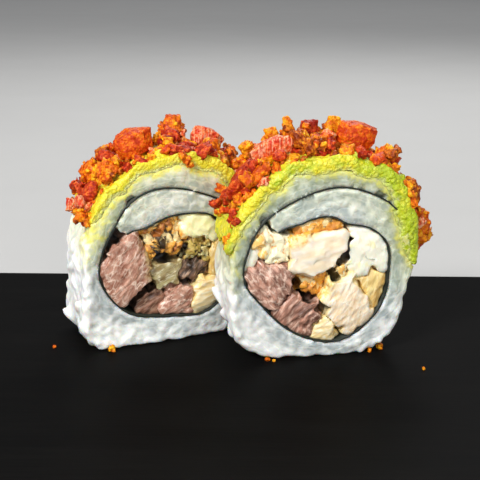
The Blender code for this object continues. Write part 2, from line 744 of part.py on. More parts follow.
def make_avocado(roll, holder, draw):
    """The mashed avocado over the top, with a lip over the front edge and crumbs fused on."""
    low, high = roll.avocado_span
    depths = [roll.length + AVOCADO_END, roll.length - AVOCADO_EDGE_BACK]
    depths += [roll.length * share for share in AVOCADO_DEPTHS] + [AVOCADO_EDGE_FRONT, AVOCADO_END]
    outer, inner = [], []
    for n in range(AVOCADO_COLUMNS):
        angle = low + (high - low) * n / (AVOCADO_COLUMNS - 1)
        bed = roll.bare_rim(angle) + AVOCADO_GAP
        share = n / (AVOCADO_COLUMNS - 1) * (len(roll.avocado_lip) - 1)
        lip = open_table(roll.avocado_lip, share)
        thin = CLEARANCE + FACE_RELIEF
        top = [(d, roll.topping_radius(angle, d)) for d in depths]
        proud = AVOCADO_LIP_DEPTH + thin
        front = [(-proud, bed + AVOCADO_LIP_RISE), (-proud, bed - lip)]
        under = [(d, bed) for d in depths[:-1]] + [(-thin, bed)]
        face = [(-thin, bed - lip / 2), (-thin, bed - lip - AVOCADO_LIP_TUCK)]
        outer.append([roll.point(angle, r, d) for d, r in top + front])
        inner.append([roll.point(angle, r, d) for d, r in under + face])
    rows, columns = len(outer), len(outer[0])
    points = [p for row in outer for p in row] + [p for row in inner for p in row]
    under_from = rows * columns
    faces = grid_faces(rows, columns, False) + shifted(grid_faces(rows, columns, False), under_from)
    rim = [c for c in range(columns)] + [r * columns + columns - 1 for r in range(1, rows)]
    rim += [(rows - 1) * columns + c for c in range(columns - 2, -1, -1)]
    rim += [r * columns for r in range(rows - 2, 0, -1)]
    for a, b in zip(rim, rim[1:] + rim[:1]):
        faces.append((a, b, b + under_from, a + under_from))
    mash = add_object(f"{roll.name}_avocado", "avocado", mesh_from(points, faces), holder)
    unite(mash, crumbs(roll, holder, draw))


def crumbs(roll, holder, draw):
    """Small bacon crumbs half sunk in the avocado, clear of the large bits."""
    low, high = roll.avocado_span
    made = []
    while len(made) < CRUMBS:
        angle = draw.uniform(low + CRUMB_END_ROOM, high - CRUMB_END_ROOM)
        depth = draw.uniform(CRUMB_EDGE_ROOM, roll.length - CRUMB_EDGE_ROOM)
        if any(near_bit(roll, bit, angle, depth) for bit in roll.bits):
            continue
        place = roll.point(angle, roll.topping_radius(angle, depth) + CRUMB_LIFT, depth)
        size = CRUMB_HALF * draw.uniform(*CRUMB_SIZES)
        matrix = Matrix.Translation(place * MM)
        made.append(crag(f"crumb_{len(made)}", "bacon", size, matrix, holder, draw))
    return made


def near_bit(roll, bit, angle, depth):
    """Whether a crumb here would touch a large bit."""
    arc = math.radians(angle - bit.angle) * roll.topping_radius(angle, depth)
    room = CRUMB_HALF * CRUMB_BIT_ROOM / min(bit.half_long, bit.half_wide)
    return share_of(bit, arc, depth - bit.depth) < BIT_REACH + room


def make_bit(roll, bit, number, holder, draw):
    """One large bacon bit: a craggy slab whose underside follows the avocado it lies on."""
    middle = roll.topping_radius(bit.angle, bit.depth)
    others = [other for other in roll.bits if other is not bit]

    def holds(arc, over):
        share = share_of(bit, arc, over)
        angle, depth = bit.angle + math.degrees(arc / middle), bit.depth + over
        for other in others:
            apart = math.radians(angle - other.angle) * middle
            if share_of(other, apart, depth - other.depth) < share:
                return False
        return share < BIT_REACH and BIT_EDGE_ROOM < depth < roll.length - BIT_EDGE_ROOM

    def place(arc, over, height):
        angle, depth = bit.angle + math.degrees(arc / middle), bit.depth + over
        return roll.point(angle, roll.topping_radius(angle, depth) + BIT_SEAT + height, depth)

    outline = reaches(BIT_SIDES, holds)
    points = []
    for share, height in ((BIT_FOOT, 0.0), (1.0, BIT_WAIST), (bit.top, 1.0)):
        for a, reach in outline:
            held = share * reach * (1 - BIT_CRAG * draw.random())
            lift = bit.height * height * (1 - BIT_CRAG * draw.random())
            points.append(place(held * math.cos(a), held * math.sin(a), lift))
    faces = grid_faces(3, BIT_SIDES, True)
    for ring, height in ((0, 0.0), (2, bit.height)):
        faces += fan(ring * BIT_SIDES, BIT_SIDES, len(points))
        points.append(place(0.0, 0.0, height))
    add_object(f"{roll.name}_bacon_{number}", "bacon", mesh_from(points, faces), holder)


def make_roll(roll):
    """All the pieces of one cut roll, standing on the board."""
    draw = random.Random(f"{SEED}{roll.name}")
    holder = bpy.data.objects.new(f"{roll.name}_roll", None)
    bpy.context.scene.collection.objects.link(holder)
    holder.location = Vector((*roll.foot, BOARD_THICKNESS + CLEARANCE)) * MM
    holder.rotation_euler.z = math.radians(roll.yaw)
    make_rice(roll, holder, draw)
    make_nori(roll, holder)
    for filling in roll.fillings:
        make_filling(roll, filling, holder)
    make_avocado(roll, holder, draw)
    for number, bit in enumerate(roll.bits, 1):
        make_bit(roll, bit, number, holder, draw)


def round_off(body, edges, size, steps):
    """Rounds off edges of a body, by a size in millimetres."""
    bmesh.ops.bevel(body, geom=edges, offset=size * MM, segments=steps, profile=0.5, affect="EDGES")


def make_board():
    """The black board: a flat block with rounded corners and a small chamfer."""
    body = bmesh.new()
    bmesh.ops.create_cube(body, size=1.0)
    bmesh.ops.scale(body, vec=Vector((BOARD_WIDTH, BOARD_DEPTH, BOARD_THICKNESS)) * MM, verts=body.verts)
    bmesh.ops.translate(body, vec=Vector((0, 0, BOARD_THICKNESS / 2)) * MM, verts=body.verts)
    upright = [e for e in body.edges if abs(e.verts[0].co.z - e.verts[1].co.z) > BOARD_CHAMFER * MM]
    round_off(body, upright, BOARD_CORNER, BOARD_CORNER_STEPS)
    level = [e for e in body.edges if abs(e.verts[0].co.z - e.verts[1].co.z) < WELD * MM]
    rim = [e for e in level if len({round(f.normal.z) for f in e.link_faces}) == 2]
    round_off(body, rim, BOARD_CHAMFER, BOARD_CHAMFER_STEPS)
    mesh = bpy.data.meshes.new("board")
    body.to_mesh(mesh)
    body.free()
    add_object("board", "board", mesh)


def main():
    """Clears the scene and builds the board and both rolls."""
    for thing in list(bpy.data.objects):
        bpy.data.objects.remove(thing)
    make_board()
    make_roll(LEFT)
    make_roll(RIGHT)


main()
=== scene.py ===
"""Two cut uramaki rolls on a black board, dressed for the studio.

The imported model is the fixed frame. Each food solid lends its shape to a finely modelled piece
that stands in its place, and the board keeps its solid and gets a better finish. Modelling is
done in millimetres of the row frame, and each mesh is turned into metres when it is finished.
"""

import sys
import logging
import math
import random
from dataclasses import dataclass
from enum import Enum
from typing import Callable, Optional, Union

import bmesh
import bpy
import numpy as np
from mathutils import Matrix, Vector, noise
from mathutils.bvhtree import BVHTree
from mathutils.kdtree import KDTree


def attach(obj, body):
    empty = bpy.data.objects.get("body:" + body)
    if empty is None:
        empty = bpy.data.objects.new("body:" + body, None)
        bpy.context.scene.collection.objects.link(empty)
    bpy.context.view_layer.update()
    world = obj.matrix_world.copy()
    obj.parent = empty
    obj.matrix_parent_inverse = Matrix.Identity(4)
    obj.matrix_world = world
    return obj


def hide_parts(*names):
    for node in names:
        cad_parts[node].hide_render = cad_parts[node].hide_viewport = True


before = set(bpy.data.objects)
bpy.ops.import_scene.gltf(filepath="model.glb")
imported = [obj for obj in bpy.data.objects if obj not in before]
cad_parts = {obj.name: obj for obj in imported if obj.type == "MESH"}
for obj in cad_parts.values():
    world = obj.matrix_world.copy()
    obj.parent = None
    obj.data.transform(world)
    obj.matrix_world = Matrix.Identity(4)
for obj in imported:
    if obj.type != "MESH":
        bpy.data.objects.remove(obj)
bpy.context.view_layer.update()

LOG = logging.getLogger("uramaki")
BODY = "root"
SEED = 11
# One millimetre in metres. The heights below it are in millimetres: the board's face, and the
# gap that the rolls keep above it.
MM = 0.001
BOARD_TOP = 10.0
REST_GAP = 0.3
# The painted shade deep in the gaps between the fillings: its nearly black colour, and how much of it is
# used.
GAP_SHADE = (0.018, 0.010, 0.006)
GAP_SHADE_SHARE = 0.96
# How far red, green and blue light spread in food, and how rough its moist coat is.
LIGHT_SPREAD = (1.0, 0.75, 0.55)
COAT_ROUGHNESS = 0.18
# How wide the seams between the chunks of a crumbly filling are, as a share of a chunk.
SEAM_WIDTH = 0.22

Colour = tuple[float, float, float]
Triple = tuple[float, float, float]
Spot = tuple[float, float, float, float]


class Kind(Enum):
    """The Blender nodes that the finishes use."""

    MATHS = "ShaderNodeMath"
    VECTOR_MATHS = "ShaderNodeVectorMath"
    MIX = "ShaderNodeMix"
    NOISE = "ShaderNodeTexNoise"
    CELLS = "ShaderNodeTexVoronoi"
    ATTRIBUTE = "ShaderNodeAttribute"
    PLACE = "ShaderNodeTexCoord"
    RANGE = "ShaderNodeMapRange"
    BUMP = "ShaderNodeBump"


class Flow:
    """One output socket of a material, on which Python's operators add Math nodes."""

    def __init__(self, wiring: "Wiring", socket: bpy.types.NodeSocket) -> None:
        """Keeps the socket and the material's wiring.

        Args:
            wiring: the wiring that new nodes are added to.
            socket: the output socket that this value comes from.
        """
        self.wiring = wiring
        self.socket = socket

    def maths(self, operation: str, *values: "Number") -> "Flow":
        """Adds one Math node.

        Args:
            operation: Blender's name of the operation.
            values: what goes into its sockets, in order.

        Returns:
            The node's value.
        """
        sockets = dict(enumerate(values))
        return self.wiring.take(Kind.MATHS, "Value", {"operation": operation}, sockets)

    def __add__(self, other: "Number") -> "Flow":
        """Sum of the two values."""
        return self.maths("ADD", self, other)

    def __radd__(self, other: "Number") -> "Flow":
        """Sum, with the number first."""
        return self.maths("ADD", other, self)

    def __sub__(self, other: "Number") -> "Flow":
        """Difference of the two values."""
        return self.maths("SUBTRACT", self, other)

    def __rsub__(self, other: "Number") -> "Flow":
        """Difference, with the number first."""
        return self.maths("SUBTRACT", other, self)

    def __mul__(self, other: "Number") -> "Flow":
        """Product of the two values."""
        return self.maths("MULTIPLY", self, other)

    def __rmul__(self, other: "Number") -> "Flow":
        """Product, with the number first."""
        return self.maths("MULTIPLY", other, self)

    def ramp(self, low: float, high: float) -> "Flow":
        """A smooth step of this value.

        Args:
            low: value that gives 0.
            high: value that gives 1.

        Returns:
            0 to 1, smooth at both ends.
        """
        settings = {"interpolation_type": "SMOOTHSTEP"}
        sockets = {"Value": self, "From Min": low, "From Max": high}
        return self.wiring.take(Kind.RANGE, "Result", settings, sockets)


Number = Union[Flow, float]


class Wiring:
    """The node tree of one material, with its Principled shader."""

    def __init__(self, name: str, constants: dict[str, Union[float, tuple]]) -> None:
        """Starts a material.

        Args:
            name: name of the material.
            constants: values that are the same all over, by the shader's socket names.
        """
        self.material = bpy.data.materials.new(name)
        self.material.use_nodes = True
        self.tree = self.material.node_tree
        self.shader = self.tree.nodes["Principled BSDF"]
        for socket, value in constants.items():
            self.shader.inputs[socket].default_value = value

    def take(self, kind: Kind, output: str, settings: dict, sockets: dict) -> Flow:
        """Adds one node of any kind.

        Args:
            kind: the kind of node.
            output: name of the output that is wanted.
            settings: the node's own properties, which are set first.
            sockets: numbers, colours or links for its inputs, by name or number.

        Returns:
            The wanted output.
        """
        node = self.tree.nodes.new(kind.value)
        for name, value in settings.items():
            setattr(node, name, value)
        for name, value in sockets.items():
            if isinstance(value, Flow):
                self.tree.links.new(value.socket, node.inputs[name])
            else:
                node.inputs[name].default_value = value
        found = [s for s in node.outputs if s.name == output and s.enabled]
        return Flow(self, found[0])

    def mix(self, share: Number, low: Union[Flow, Colour], high: Union[Flow, Colour]) -> Flow:
        """Mixes two colours.

        Args:
            share: 0 for the first colour and 1 for the second.
            low: the first colour.
            high: the second colour.

        Returns:
            The mixed colour.
        """
        sockets = {0: share, 6: rgba(low), 7: rgba(high)}
        return self.take(Kind.MIX, "Result", {"data_type": "RGBA"}, sockets)

    def tinted(self, colour: Flow, share: Number, tint: Colour) -> Flow:
        """Multiplies a colour by a tint.

        Args:
            colour: the colour to tint.
            share: how much of the tint is used.
            tint: the tint.

        Returns:
            The tinted colour.
        """
        settings = {"data_type": "RGBA", "blend_type": "MULTIPLY"}
        return self.take(Kind.MIX, "Result", settings, {0: share, 6: colour, 7: rgba(tint)})

    def place(self) -> Flow:
        """The place on the object in millimetres, as a vector."""
        spot = self.take(Kind.PLACE, "Object", {}, {})
        return self.stretched(spot, (1 / MM,) * 3)

    def stretched(self, vector: Flow, scale: Triple) -> Flow:
        """The vector times a scale along each axis."""
        settings = {"operation": "MULTIPLY"}
        return self.take(Kind.VECTOR_MATHS, "Vector", settings, {0: vector, 1: scale})

    def warped(self, spot: Flow, size: float, reach: float) -> Flow:
        """Pushes a place about by noise, so that a pattern read there has no straight edges.

        Args:
            spot: the place, in millimetres.
            size: size of the noise's spots in millimetres.
            reach: how far it is pushed, in millimetres.

        Returns:
            The new place.
        """
        drift = self.take(Kind.NOISE, "Color", {}, {"Vector": spot, "Scale": 1 / size, "Detail": 1.0})
        settings = {"operation": "MULTIPLY_ADD"}
        return self.take(Kind.VECTOR_MATHS, "Vector", settings, {0: drift, 1: (2 * reach,) * 3, 2: spot})

    def vector(self, name: str) -> Flow:
        """A vector that the mesh keeps at each of its points."""
        return self.take(Kind.ATTRIBUTE, "Vector", {"attribute_name": name}, {})

    def value(self, name: str) -> Flow:
        """A number that the mesh keeps at each of its points."""
        return self.take(Kind.ATTRIBUTE, "Fac", {"attribute_name": name}, {})

    def grain(self, spot: Flow, size: float, detail: float = 2.0, warp: float = 0.0) -> Flow:
        """Noise of about 0 to 1.

        Args:
            spot: where it is read, in millimetres.
            size: size of its spots in millimetres.
            detail: number of finer layers.
            warp: how much it is distorted.

        Returns:
            The noise value.
        """
        sockets = {"Vector": spot, "Scale": 1 / size, "Detail": detail, "Distortion": warp}
        return self.take(Kind.NOISE, "Fac", {}, sockets)

    def cells(self, spot: Flow, size: float, feature: str = "F1") -> Flow:
        """Distance to the nearest of many scattered points.

        Args:
            spot: where it is read, in millimetres.
            size: size of the cells in millimetres.
            feature: which distance of the cells is read.

        Returns:
            The distance, 0 at a point.
        """
        sockets = {"Vector": spot, "Scale": 1 / size}
        return self.take(Kind.CELLS, "Distance", {"feature": feature}, sockets)

    def gap_shaded(self, colour: Flow) -> Flow:
        """The colour, darkened to nearly black by painted shade deep in the gaps between the fillings."""
        return self.mix(self.value("void") * GAP_SHADE_SHARE, colour, GAP_SHADE)

    def finish(self, colour: Flow, rough: Number, height: Flow, depth: float) -> bpy.types.Material:
        """Joins the last values to the shader.

        Args:
            colour: base colour.
            rough: roughness.
            height: height of the fine relief, 0 to 1.
            depth: depth of that relief in millimetres.

        Returns:
            The material.
        """
        self.tree.links.new(colour.socket, self.shader.inputs["Base Color"])
        if isinstance(rough, Flow):
            self.tree.links.new(rough.socket, self.shader.inputs["Roughness"])
        else:
            self.shader.inputs["Roughness"].default_value = rough
        sockets = {"Height": height, "Distance": depth * MM, "Strength": 1.0}
        relief = self.take(Kind.BUMP, "Normal", {}, sockets)
        self.tree.links.new(relief.socket, self.shader.inputs["Normal"])
        return self.material


def rgba(colour: Union[Flow, Colour]) -> Union[Flow, tuple[float, ...]]:
    """A colour with its alpha, or the link as it is."""
    return colour if isinstance(colour, Flow) else (*colour, 1.0)


def soft_glow(weight: float, reach: float, coat: float = 0.0) -> dict[str, Union[float, tuple]]:
    """Shader values of a moist food that light goes into.

    Args:
        weight: share of the light that goes in.
        reach: how far it spreads, in millimetres.
        coat: weight of the moist coat.

    Returns:
        The values by socket name.
    """
    return {
        "Subsurface Weight": weight,
        "Subsurface Radius": LIGHT_SPREAD,
        "Subsurface Scale": reach * MM,
        "Coat Weight": coat,
        "Coat Roughness": COAT_ROUGHNESS,
    }


@dataclass(frozen=True)
class BoardFinish:
    """Black stained wood with a satin face and fine straight grain."""

    base: Colour = (0.0025, 0.0025, 0.0025)
    worn: Colour = (0.008, 0.0075, 0.007)
    gloss: float = 0.008
    fibre_size: float = 0.7
    board_size: float = 5.0
    dust_size: float = 0.5
    relief: float = 0.05

    def make(self) -> bpy.types.Material:
        """Builds the material.

        Returns:
            The board's material.
        """
        wiring = Wiring("board_black_wood", {"Specular IOR Level": self.gloss})
        spot = wiring.place()
        fine = wiring.grain(wiring.stretched(spot, (0.05, 1.0, 1.0)), self.fibre_size, 3.0)
        broad = wiring.grain(wiring.stretched(spot, (0.08, 0.6, 1.0)), self.board_size, 3.0, 0.4)
        dust = wiring.grain(spot, self.dust_size, 1.0).ramp(0.70, 0.80)
        colour = wiring.mix(fine * broad * 1.6, self.base, self.worn)
        colour = wiring.mix(dust * 0.25, colour, self.worn)
        rough = 0.30 + 0.14 * broad + 0.10 * fine
        return wiring.finish(colour, rough, fine * 0.6 + broad * 0.4, self.relief)


@dataclass(frozen=True)
class FloorFinish:
    """A plain pale studio floor."""

    base: Colour = (0.56, 0.555, 0.54)
    shade: Colour = (0.52, 0.515, 0.50)
    gloss: float = 0.2
    rough: float = 0.85
    cloud_size: float = 60.0
    speck_size: float = 1.5
    relief: float = 0.05

    def make(self) -> bpy.types.Material:
        """Builds the material.

        Returns:
            The floor's material.
        """
        wiring = Wiring("studio_floor", {"Specular IOR Level": self.gloss})
        spot = wiring.place()
        broad = wiring.grain(spot, self.cloud_size, 3.0)
        fine = wiring.grain(spot, self.speck_size, 2.0)
        return wiring.finish(wiring.mix(broad, self.base, self.shade), self.rough, fine, self.relief)


@dataclass(frozen=True)
class RiceFinish:
    """Cooked short-grain rice: pearly, a little see-through, yellow where avocado lies near, with painted
    shade in its hollows.
    """

    name: str
    avocado_tint_and_shade: Colour
    oily: Colour
    stain: float
    milky: Colour = (0.95, 0.94, 0.90)
    glassy: Colour = (0.46, 0.51, 0.50)
    crease_shade: Colour = (0.64, 0.68, 0.66)
    avocado: Colour = (0.90, 0.83, 0.14)
    grain_stretch: Triple = (0.42, 1.0, 0.6)
    grain_size: float = 1.6
    blotch_size: float = 2.2
    smear_size: float = 1.8
    speck_size: float = 0.45
    relief: float = 0.12

    def make(self) -> bpy.types.Material:
        """Builds the material.

        Returns:
            The rice's material.
        """
        wiring = Wiring(self.name, soft_glow(0.85, 1.6, 0.25))
        spot = wiring.place()
        tone = wiring.value("tone")
        core = wiring.value("core")
        blotch = wiring.grain(spot, self.blotch_size, 3.0)
        cut = wiring.value("cut").ramp(0.3, 0.9)
        seen = wiring.stretched(wiring.warped(wiring.vector("ring"), 1.3, 0.55), self.grain_stretch)
        seam = wiring.cells(seen, self.grain_size, "DISTANCE_TO_EDGE").ramp(0.0, 0.2)
        heart = wiring.cells(seen, self.grain_size).ramp(0.1, 0.6)
        rind = wiring.value("rind")
        clear = cut * (0.75 + seam * 0.1 - rind * 0.65)
        cloudy = (tone * 0.35 + core * 0.2 + blotch * 0.9 - clear).ramp(-0.15, 0.75)
        colour = wiring.mix(cloudy, self.glassy, self.milky)
        near = wiring.value("near_avocado")
        # Painted shade: the rice is tinted darker in its hollows, less so next to the avocado.
        crease_shade = wiring.value("hollow").ramp(0.45, 0.95) * (0.9 - near.ramp(0.5, 1.0) * 0.9)
        colour = wiring.tinted(colour, crease_shade, self.crease_shade)
        colour = wiring.mix(cut * (1.0 - seam) * blotch * 0.5, colour, self.milky)
        # Painted shade on the cut faces: darker away from the middle of each cut grain.
        colour = wiring.tinted(colour, cut * heart * 0.3, self.crease_shade)
        smear = wiring.grain(spot, self.smear_size, 3.0, 0.6)
        colour = wiring.tinted(colour, (wiring.value("oil") + smear * 0.5 - 0.2).ramp(0.1, 0.9), self.oily)
        # Tinted near the avocado: its stain, and on the right roll painted shade as well.
        colour = wiring.tinted(colour, (near * 0.9 + smear - 0.8).ramp(0.0, 0.7), self.avocado_tint_and_shade)
        stain = (near * 2.2 + smear * 1.6 - 2.3).ramp(0.0, 0.8)
        colour = wiring.mix(stain * self.stain, colour, self.avocado)
        speck = wiring.grain(spot, self.speck_size, 2.0)
        height = speck * 0.3 + blotch * 0.4 + cut * seam * 0.4
        return wiring.finish(colour, 0.26 + 0.22 * blotch, height, self.relief)


@dataclass(frozen=True)
class NoriFinish:
    """Dried seaweed sheet, nearly black, with a papery crinkle."""

    base: Colour = (0.006, 0.008, 0.006)
    green: Colour = (0.020, 0.028, 0.014)
    gloss: float = 0.45
    fibre_size: float = 0.4
    patch_size: float = 2.5
    relief: float = 0.08

    def make(self) -> bpy.types.Material:
        """Builds the material.

        Returns:
            The nori's material.
        """
        wiring = Wiring("nori_sheet", {"Specular IOR Level": self.gloss})
        spot = wiring.place()
        fibre = wiring.grain(wiring.stretched(spot, (1.0, 1.0, 0.3)), self.fibre_size, 3.0, 0.5)
        patch = wiring.grain(spot, self.patch_size, 2.0)
        colour = wiring.mix(fibre * patch * 1.8, self.base, self.green)
        return wiring.finish(colour, 0.42 + 0.25 * fibre, fibre, self.relief)


@dataclass(frozen=True)
class MeatFinish:
    """Cooked meat cut across or along its fibres, with pale marbling, dark furrows and painted shade in its
    hollows.
    """

    name: str
    base: Colour
    pale: Colour
    dark: Colour
    fibre: Triple
    marbling: float = 0.45
    edge: Optional[Colour] = None
    glow: float = 0.25
    coat: float = 0.15
    coated: Optional[tuple[Colour, Colour]] = None
    depth: float = 0.22
    reach: float = 0.9
    fine_size: float = 0.55
    bundle_size: float = 1.7
    patch_size: float = 3.2
    vein_size: float = 1.15
    furrow_size: float = 1.9
    coat_size: float = 0.9

    def make(self) -> bpy.types.Material:
        """Builds the material.

        Returns:
            The meat's material.
        """
        wiring = Wiring(self.name, soft_glow(self.glow, self.reach, self.coat))
        spot = wiring.vector("weave")
        strands = wiring.stretched(spot, self.fibre)
        fine = wiring.grain(strands, self.fine_size, 3.0, 0.7)
        bundle = wiring.grain(strands, self.bundle_size, 2.0, 0.5)
        patch = wiring.grain(spot, self.patch_size, 2.0)
        colour = wiring.mix(bundle.ramp(0.25, 0.75), self.dark, self.base)
        streak = (fine * 0.7 + patch * 0.3).ramp(0.62 - 0.25 * self.marbling, 0.72)
        colour = wiring.mix(streak * self.marbling * 0.7, colour, self.pale)
        bent = wiring.warped(strands, 0.9, 0.5)
        vein = wiring.cells(bent, self.vein_size, "DISTANCE_TO_EDGE").ramp(0.02, 0.14)
        shown = wiring.grain(spot, 1.9, 2.0).ramp(0.42, 0.60)
        colour = wiring.mix((1.0 - vein) * shown * self.marbling, colour, self.pale)
        bent = wiring.warped(strands, 1.2, 0.7)
        furrow = wiring.cells(bent, self.furrow_size, "DISTANCE_TO_EDGE").ramp(0.01, 0.09)
        colour = wiring.mix((1.0 - furrow) * (1.0 - shown) * 0.6 * self.marbling, colour, self.dark)
        # Painted shade: the meat is darker in its hollows and around the roll's gaps.
        cleft_shade = wiring.value("hollow").ramp(0.35, 1.0)
        colour = wiring.mix(cleft_shade * 0.8, colour, self.dark)
        if self.edge is not None:
            rim = (wiring.value("rim") + patch * 0.6 - 0.25).ramp(0.35, 0.75)
            colour = wiring.mix(rim * 0.7, colour, self.edge)
        if self.coated is not None:
            fried = wiring.mix(wiring.grain(spot, self.coat_size, 3.0).ramp(0.4, 0.6), *self.coated)
            colour = wiring.mix(wiring.value("coated"), colour, fried)
        rough = 0.34 + 0.25 * fine
        return wiring.finish(wiring.gap_shaded(colour), rough, fine * 0.6 + bundle * 0.4, self.depth)


@dataclass(frozen=True)
class CrustFinish:
    """Fried batter: a crumbly golden coat that browns towards its tips, and is darker in its seams and
    hollows, partly browned and partly painted shade.
    """

    name: str
    light: Colour
    gold: Colour
    brown: Colour
    browning_and_shade: float = 0.5
    glow: float = 0.3
    paleness: float = 0.3
    # The colour in the seams and hollows: partly browned, partly painted shade.
    dark: Colour = (0.10, 0.035, 0.012)
    reach: float = 0.8
    coat: float = 0.2
    patch_size: float = 1.3
    fine_size: float = 0.4
    broad_size: float = 2.8
    relief: float = 0.22

    def make(self) -> bpy.types.Material:
        """Builds the material.

        Returns:
            The crust's material.
        """
        wiring = Wiring(self.name, soft_glow(self.glow, self.reach, self.coat))
        spot = wiring.vector("weave")
        patch = wiring.grain(spot, self.patch_size, 3.0, 0.8)
        fine = wiring.grain(spot, self.fine_size, 3.0)
        own = wiring.value("chunk")
        seam = wiring.value("seam")
        broad = wiring.grain(spot, self.broad_size, 2.0)
        pale = (own * 0.7 + patch * 0.8 - self.paleness).ramp(0.25, 0.50)
        colour = wiring.mix(pale, self.light, self.gold)
        burnt = (own * 0.8 + patch * 1.2 - 1.05).ramp(0.10, 0.35)
        colour = wiring.mix(burnt * self.browning_and_shade, colour, self.brown)
        # Darker in the seams and hollows: partly browned, partly painted shade.
        deep = (seam * broad * 1.4 + wiring.value("hollow") * 0.5 + broad * 0.5 - 0.75).ramp(0.20, 0.55)
        colour = wiring.gap_shaded(wiring.mix(deep * self.browning_and_shade, colour, self.dark))
        return wiring.finish(colour, 0.36 + 0.3 * fine, patch * 0.6 + fine * 0.6, self.relief)


@dataclass(frozen=True)
class CheeseFinish:
    """Cream cheese: off-white and smooth, with faint knife drags and yellow smears."""

    name: str = "cheese"
    base: Colour = (0.93, 0.90, 0.74)
    warm: Colour = (0.90, 0.80, 0.36)
    orange: Colour = (0.80, 0.40, 0.06)
    glow: float = 0.6
    reach: float = 1.2
    coat: float = 0.3
    drag_size: float = 1.0
    smear_size: float = 2.6
    relief: float = 0.18

    def make(self) -> bpy.types.Material:
        """Builds the material.

        Returns:
            The cheese's material.
        """
        wiring = Wiring(self.name, soft_glow(self.glow, self.reach, self.coat))
        spot = wiring.vector("weave")
        drag = wiring.grain(wiring.stretched(spot, (0.3, 1.0, 0.5)), self.drag_size, 3.0, 0.6)
        smear = wiring.grain(spot, self.smear_size, 3.0, 0.5)
        colour = wiring.mix(smear.ramp(0.52, 0.74) * 0.7, self.base, self.warm)
        rim = (wiring.value("rim") * 0.8 + smear * 0.6 - 0.3).ramp(0.45, 0.8)
        colour = wiring.mix(rim * 0.5, colour, self.orange)
        sauce = wiring.value("coated") * (smear * 2.0 - 0.3).ramp(0.1, 0.7)
        colour = wiring.gap_shaded(wiring.mix(sauce * 0.9, colour, self.orange))
        return wiring.finish(colour, 0.3 + 0.2 * drag, drag, self.relief)


@dataclass(frozen=True)
class AvocadoFinish:
    """Mashed avocado: bright yellow to light green, moist, stained orange beside the bacon."""

    yellow: Colour = (0.88, 0.74, 0.03)
    green: Colour = (0.46, 0.56, 0.008)
    pale: Colour = (0.92, 0.87, 0.14)
    faded: Colour = (0.89, 0.87, 0.34)
    grease: Colour = (0.88, 0.33, 0.012)
    greenness: float = 0.5
    glow: float = 0.45
    reach: float = 1.3
    coat: float = 0.12
    patch_size: float = 5.5
    lump_size: float = 1.5
    fine_size: float = 0.5
    mash_size: float = 0.9
    relief: float = 0.34

    def make(self, name: str) -> bpy.types.Material:
        """Builds the material.

        Args:
            name: name of the material.

        Returns:
            The avocado's material.
        """
        wiring = Wiring(name, soft_glow(self.glow, self.reach, self.coat))
        spot = wiring.place()
        broad = wiring.grain(spot, self.patch_size, 2.0, 0.5)
        lump = wiring.grain(spot, self.lump_size, 3.0, 0.4)
        fine = wiring.grain(spot, self.fine_size, 3.0)
        low = 0.62 - 0.25 * self.greenness
        lime = wiring.value("lime")
        fresh = (broad * 0.65 + lump * 0.35 + lime * (0.22 * self.greenness)).ramp(low, low + 0.2)
        colour = wiring.mix(fresh, self.yellow, self.green)
        pale = (lump * 0.6 + fine * 0.4).ramp(0.48, 0.66) * (0.75 - lime * 0.4)
        colour = wiring.mix(pale, colour, self.pale)
        mash = wiring.cells(wiring.warped(spot, 0.8, 0.4), self.mash_size).ramp(0.25, 0.75)
        colour = wiring.mix(mash * broad * 0.35, colour, self.green)
        thin = wiring.value("thin")
        # Painted shade: the avocado is tinted darker green in its hollows, less where it is thin.
        deep = wiring.value("hollow").ramp(0.2, 1.0)
        colour = wiring.tinted(colour, deep * (0.5 - thin * 0.4), self.green)
        faded = (thin + lump * 1.2 - 0.75).ramp(0.1, 0.9)
        colour = wiring.mix(faded * (0.9 - 0.5 * self.greenness), colour, self.faded)
        stain = (wiring.value("near_bacon") + lump * 0.6 - 0.45).ramp(0.45, 0.85)
        colour = wiring.mix(stain * 0.7, colour, self.grease)
        height = lump * 0.6 + fine * 0.6 - mash * 0.5
        return wiring.finish(colour, 0.30 + 0.3 * lump, height, self.relief)


class BaconTone(Enum):
    """The tones of the fried bacon bits: middle, bright and dark colour."""

    SCARLET = ((0.66, 0.055, 0.006), (0.92, 0.25, 0.03), (0.30, 0.012, 0.002))
    EMBER = ((0.80, 0.115, 0.003), (0.95, 0.36, 0.01), (0.46, 0.030, 0.002))
    ORANGE = ((0.88, 0.20, 0.003), (0.98, 0.50, 0.01), (0.48, 0.05, 0.002))
    AMBER = ((0.96, 0.36, 0.003), (0.98, 0.66, 0.03), (0.58, 0.11, 0.002))
    RUST = ((0.60, 0.12, 0.004), (0.92, 0.40, 0.02), (0.20, 0.025, 0.002))
    CRIMSON = ((0.60, 0.045, 0.008), (0.88, 0.22, 0.03), (0.24, 0.010, 0.003))
    ROSE = ((0.88, 0.18, 0.04), (0.97, 0.60, 0.30), (0.56, 0.03, 0.008))


def tones_of(names: str) -> tuple[BaconTone, ...]:
    """The tones with these names, in order."""
    return tuple(BaconTone[name] for name in names.split())


SLAB_TONES = tones_of("SCARLET ROSE EMBER")


